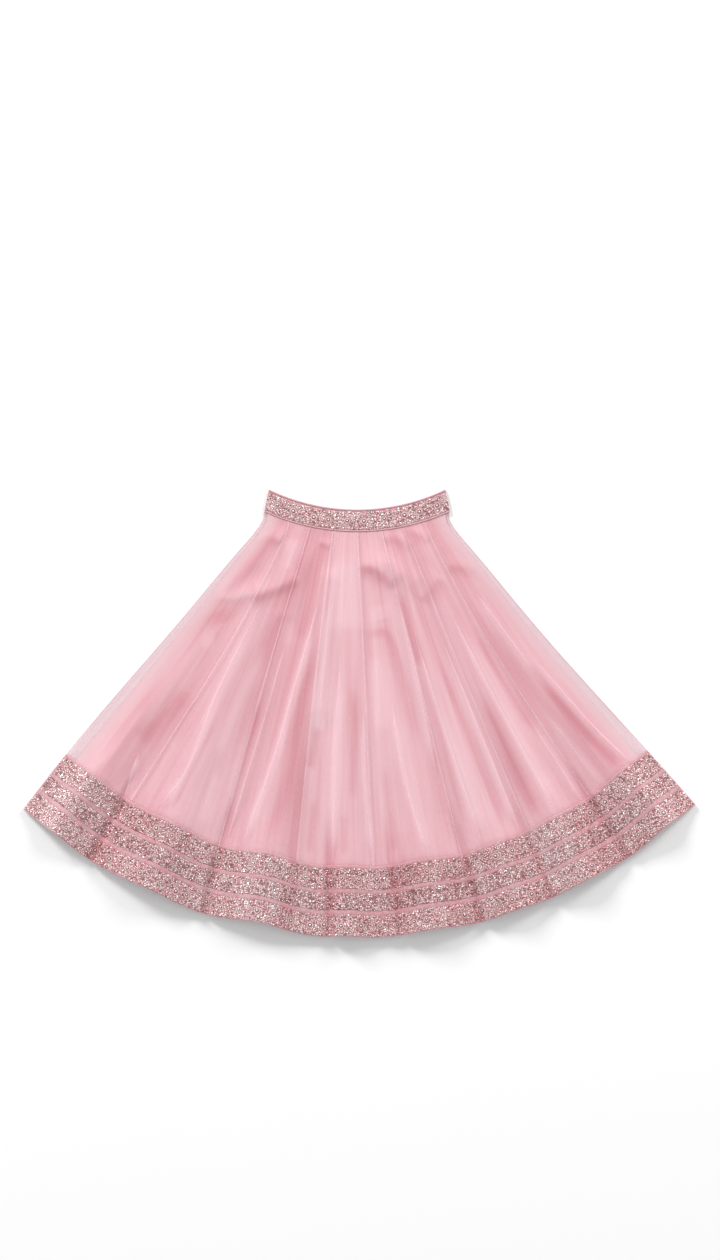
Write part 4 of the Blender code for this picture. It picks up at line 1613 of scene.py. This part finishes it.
def add_fill(work, place, mix, downs, metres_down, keep_off):
    """Jittered rows of mixed beads over a strip, clear of its rosettes."""
    beads, rng = work.beads, work.rng
    head, foot = downs
    rows = max(2, int((foot - head) * metres_down / (beads.spacing * FILL_ROW_SHARE)))
    shares = np.cumsum([fill[mix] for fill in FILLS])
    for row in range(rows):
        down = head + (foot - head) * (row + 0.5) / rows
        stops, length = even_places(place, down, beads.spacing)
        pace = (PANELS - 2 * ROW_INSET) / length
        count = len(stops)
        across = stops + rng.normal(0, FILL_ACROSS_JITTER, count) * beads.spacing * pace
        across = across + (0.5 * beads.spacing * pace if row % 2 else 0)
        jitter = rng.normal(0, FILL_DOWN_JITTER, count) * beads.spacing / metres_down
        downs_here = np.clip(down + jitter, head, foot)
        across = np.clip(across, FILL_INSET, PANELS - FILL_INSET)
        keep = np.ones(count, bool)
        if keep_off is not None:
            x, y = place(across, downs_here)
            cx, cy = place(keep_off[0], keep_off[1])
            near = np.searchsorted(keep_off[0], across)
            for offset in (-1, 0):
                index = np.clip(near + offset, 0, len(cx) - 1)
                keep &= np.hypot(x - cx[index], y - cy[index]) > keep_off[2][index]
        across, downs_here = across[keep], downs_here[keep]
        kind = np.searchsorted(shares, rng.uniform(0, shares[-1], len(across)))
        for index, fill in enumerate(FILLS):
            mine = kind == index
            if mine.any():
                size = fill["scale"] * rng.uniform(*FILL_SCALES, int(mine.sum()))
                work.add(across[mine], downs_here[mine], SHAPES.index(fill["shape"]),
                         BEAD_FINISHES[fill["finish"]], size)


# How far the border's beads reach over a band's edges, and the waistband's stay inside them.
BEAD_OVERHANG = 0.0006
WAIST_BEAD_INSET = 0.0024
WAIST_BEAD_TONE = 0.52
WAIST_SEED_STEP = 50


class SKIRT_OT_border_beads(SkirtOperator, bpy.types.Operator):
    """Sew beads, sequins and rosettes onto the front's border bands"""

    bl_idname = "skirt.border_beads"
    bl_label = "Border Beads"

    def execute(self, context):
        beads, cloth = self.beads, self.cloth
        materials = bead_materials(self.colours)
        overhang = BEAD_OVERHANG / BORDER_WIDTH

        def height_of(across, down):
            return border_foot(across, down) + cloth.band_thickness

        for strip, head, foot in border_strips(embroidered=True):
            work = BeadWork(plan_place, height_of, tone_and_painted_light, beads,
                            np.random.default_rng(beads.seed + STRIPS.index(strip)))
            middle = (head + foot) / 2
            keep_off = None
            if strip["rosettes"]:
                keep_off = add_rosettes(work, plan_place, middle, BORDER_WIDTH,
                                        beads.rosette_spacing, beads.rosette_radius)
            mix = strip["name"].replace("border_band_", "")
            add_fill(work, plan_place, mix, (head - overhang, foot + overhang), BORDER_WIDTH,
                     keep_off)
            piece = work.make(f"{strip['name']}_beads", materials)
        return {"FINISHED"}


class SKIRT_OT_waist_beads(SkirtOperator, bpy.types.Operator):
    """Sew beads, sequins and rosettes onto the front's waistband"""

    bl_idname = "skirt.waist_beads"
    bl_label = "Waistband Beads"

    def execute(self, context):
        beads = self.beads
        strip = WAIST_STRIPS[1]
        inset = WAIST_BEAD_INSET / WAIST_HEIGHT
        level = waistband_top("front") - GROUND_DROP
        work = BeadWork(waist_place, lambda across, down: level + 0 * across,
                        lambda across, down: WAIST_BEAD_TONE + 0 * across, beads,
                        np.random.default_rng(beads.seed + WAIST_SEED_STEP))
        middle = (strip["head"] + strip["foot"]) / 2
        keep_off = add_rosettes(work, waist_place, middle, WAIST_HEIGHT, beads.rosette_spacing,
                                beads.rosette_radius)
        add_fill(work, waist_place, "waist", (strip["head"] + inset, strip["foot"] - inset),
                 WAIST_HEIGHT, keep_off)
        piece = work.make("waistband_beads", bead_materials(self.colours))
        return {"FINISHED"}


# A stitch's half width, its distance from a ribbon's edge, its pitch in stitch lengths, and
# how far up the ribbon's thickness it lies.
THREAD_HALF_WIDTH = 0.00022
STITCH_INSET = 0.0011
STITCH_PITCH = 1.5
STITCH_LEVEL = 0.86


class SKIRT_OT_stitches(SkirtOperator, bpy.types.Operator):
    """Sew the visible stitches along the ribbons and the border's top binding"""

    bl_idname = "skirt.stitches"
    bl_label = "Stitches"

    def execute(self, context):
        cloth = self.cloth
        thread = shared_material("rose_thread", lambda: thread_material(self.colours))
        inset = STITCH_INSET / BORDER_WIDTH
        across_all, down_all = [], []
        for strip, head, foot in border_strips(embroidered=False):
            if strip["name"] == "hem_binding":
                continue
            for line in (head + inset, foot - inset):
                stops, _ = even_places(plan_place, line, cloth.stitch_length * STITCH_PITCH)
                across_all.append(stops)
                down_all.append(np.full(len(stops), line))
        across, down = np.concatenate(across_all), np.concatenate(down_all)

        def height_of(across, down):
            return border_foot(across, down) + cloth.ribbon_thickness * STITCH_LEVEL

        here, along, side, out = surface_frames(across, down, plan_place, height_of)
        frames = np.stack([along, side, out], axis=2)
        half = (cloth.stitch_length / 2, THREAD_HALF_WIDTH, THREAD_HALF_WIDTH)
        verts, faces = stacked_rings([ring(4, 1.0, -1.0, 0.5), ring(4, 1.0, 1.0, 0.5)])
        stitch = (verts[:, [2, 0, 1]], faces)
        count = len(here)
        piece = joined_copies("border_stitches", [stitch], np.zeros(count, int),
                              np.tile(half, (count, 1)), frames, here, [thread], np.zeros(count, int),
                              np.ones(count))
        return {"FINISHED"}


FLOOR_HALF = 9.0
FLOOR_DROP = 0.0002
FRAME_PIXELS_HIGH = 1260
LIGHT_DISTANCE = 12.0


class SKIRT_OT_stage(SkirtOperator, bpy.types.Operator):
    """Set out the pale floor, the soft lights and the camera that looks straight down"""

    bl_idname = "skirt.stage"
    bl_label = "Stage"

    # The photograph's frame, at the skirt's scale.
    pixel: size("Pixel", "Real size of one pixel of the 720 by 1260 frame", 0.002375, 0.0001, 0.1)
    aim_x: size("Aim X", "Where the middle of the frame lies, across", 0.0014, -1.0, 1.0)
    aim_y: size("Aim Y", "Where the middle of the frame lies, up the frame", 0.1977, -1.0, 1.0)

    def execute(self, context):
        stage = self.stage
        floor_mesh = bpy.data.meshes.new("pale_floor")
        corners = [(FLOOR_HALF * x, FLOOR_HALF * y, -FLOOR_DROP)
                   for x, y in ((-1, -1), (1, -1), (1, 1), (-1, 1))]
        floor_mesh.from_pydata(corners, [], [(0, 1, 2, 3)])
        floor_mesh.materials.append(new_material("pale_floor", stage.floor, 0.85, Specular_IOR_Level=0.2))
        floor = bpy.data.objects.new("pale_floor", floor_mesh)
        context.scene.collection.objects.link(floor)

        world = bpy.data.worlds.new("studio")
        world.use_nodes = True
        sky = world.node_tree.nodes["Background"]
        sky.inputs["Color"].default_value = (1, 1, 1, 1)
        sky.inputs["Strength"].default_value = stage.sky
        context.scene.world = world

        self.add_light("key_light", stage.key_power, width=2.6, heading=-36.0, height_angle=18.0)
        self.add_light("side_light", stage.side_power, width=3.0, heading=40.0, height_angle=18.0)

        camera_data = bpy.data.cameras.new("overhead")
        camera_data.lens = stage.lens
        camera_data.clip_end = 100
        camera = bpy.data.objects.new("overhead", camera_data)
        frame_height = FRAME_PIXELS_HIGH * self.pixel
        distance = frame_height * stage.lens / camera_data.sensor_width
        camera.location = (self.aim_x, self.aim_y, distance)
        context.scene.collection.objects.link(camera)
        context.scene.camera = camera
        context.scene.view_settings.view_transform = "Standard"
        return {"FINISHED"}

    def add_light(self, name, power, width, heading, height_angle):
        """A soft square light that faces the skirt, + to the right of straight up the frame."""
        light_data = bpy.data.lights.new(name, "AREA")
        light_data.energy = power
        light_data.size = width
        light = bpy.data.objects.new(name, light_data)
        turn, tilt = math.radians(heading), math.radians(height_angle)
        level = LIGHT_DISTANCE * math.cos(tilt)
        light.location = (level * math.sin(turn), level * math.cos(turn), LIGHT_DISTANCE * math.sin(tilt))
        light.rotation_euler = (math.pi / 2 - tilt, 0, math.pi - turn)
        bpy.context.scene.collection.objects.link(light)


OPERATORS = (
    SKIRT_OT_stage,
    SKIRT_OT_back_panels,
    SKIRT_OT_lining,
    SKIRT_OT_front_panels,
    SKIRT_OT_panel_seams,
    SKIRT_OT_fold_edges,
    SKIRT_OT_border_bands,
    SKIRT_OT_border_ribbons,
    SKIRT_OT_waist,
    SKIRT_OT_border_beads,
    SKIRT_OT_waist_beads,
    SKIRT_OT_stitches,
)


class SKIRT_PT_sidebar(bpy.types.Panel):
    """Panel that lists the skirt's settings and the buttons of its operators"""

    bl_label = "Lehenga Skirt"
    bl_space_type = "VIEW_3D"
    bl_region_type = "UI"
    bl_category = "Skirt"

    def draw(self, context):
        layout = self.layout
        for group in ("skirt_cloth", "skirt_beads", "skirt_colours", "skirt_stage"):
            settings = getattr(context.scene, group)
            box = layout.box()
            for name in settings.__annotations__:
                box.prop(settings, name)
        for operator in OPERATORS:
            layout.operator(operator.bl_idname)


GROUPS = {
    "skirt_cloth": SkirtCloth,
    "skirt_beads": SkirtBeads,
    "skirt_colours": SkirtColours,
    "skirt_stage": SkirtStage,
}


def register():
    for name, group in GROUPS.items():
        bpy.utils.register_class(group)
        setattr(bpy.types.Scene, name, PointerProperty(type=group))
    for cls in (*OPERATORS, SKIRT_PT_sidebar):
        bpy.utils.register_class(cls)


def unregister():
    for cls in (SKIRT_PT_sidebar, *reversed(OPERATORS)):
        bpy.utils.unregister_class(cls)
    for name, group in GROUPS.items():
        delattr(bpy.types.Scene, name)
        bpy.utils.unregister_class(group)


def run_operator(bl_idname):
    """Call an operator by its name, and stop if it doesn't finish."""
    group, name = bl_idname.split(".")
    if getattr(getattr(bpy.ops, group), name)() != {"FINISHED"}:
        raise RuntimeError(f"{bl_idname} did not finish")


def main():
    register()
    for operator in OPERATORS:
        run_operator(operator.bl_idname)
    bpy.context.view_layer.update()


if __name__ == "__main__":
    main()
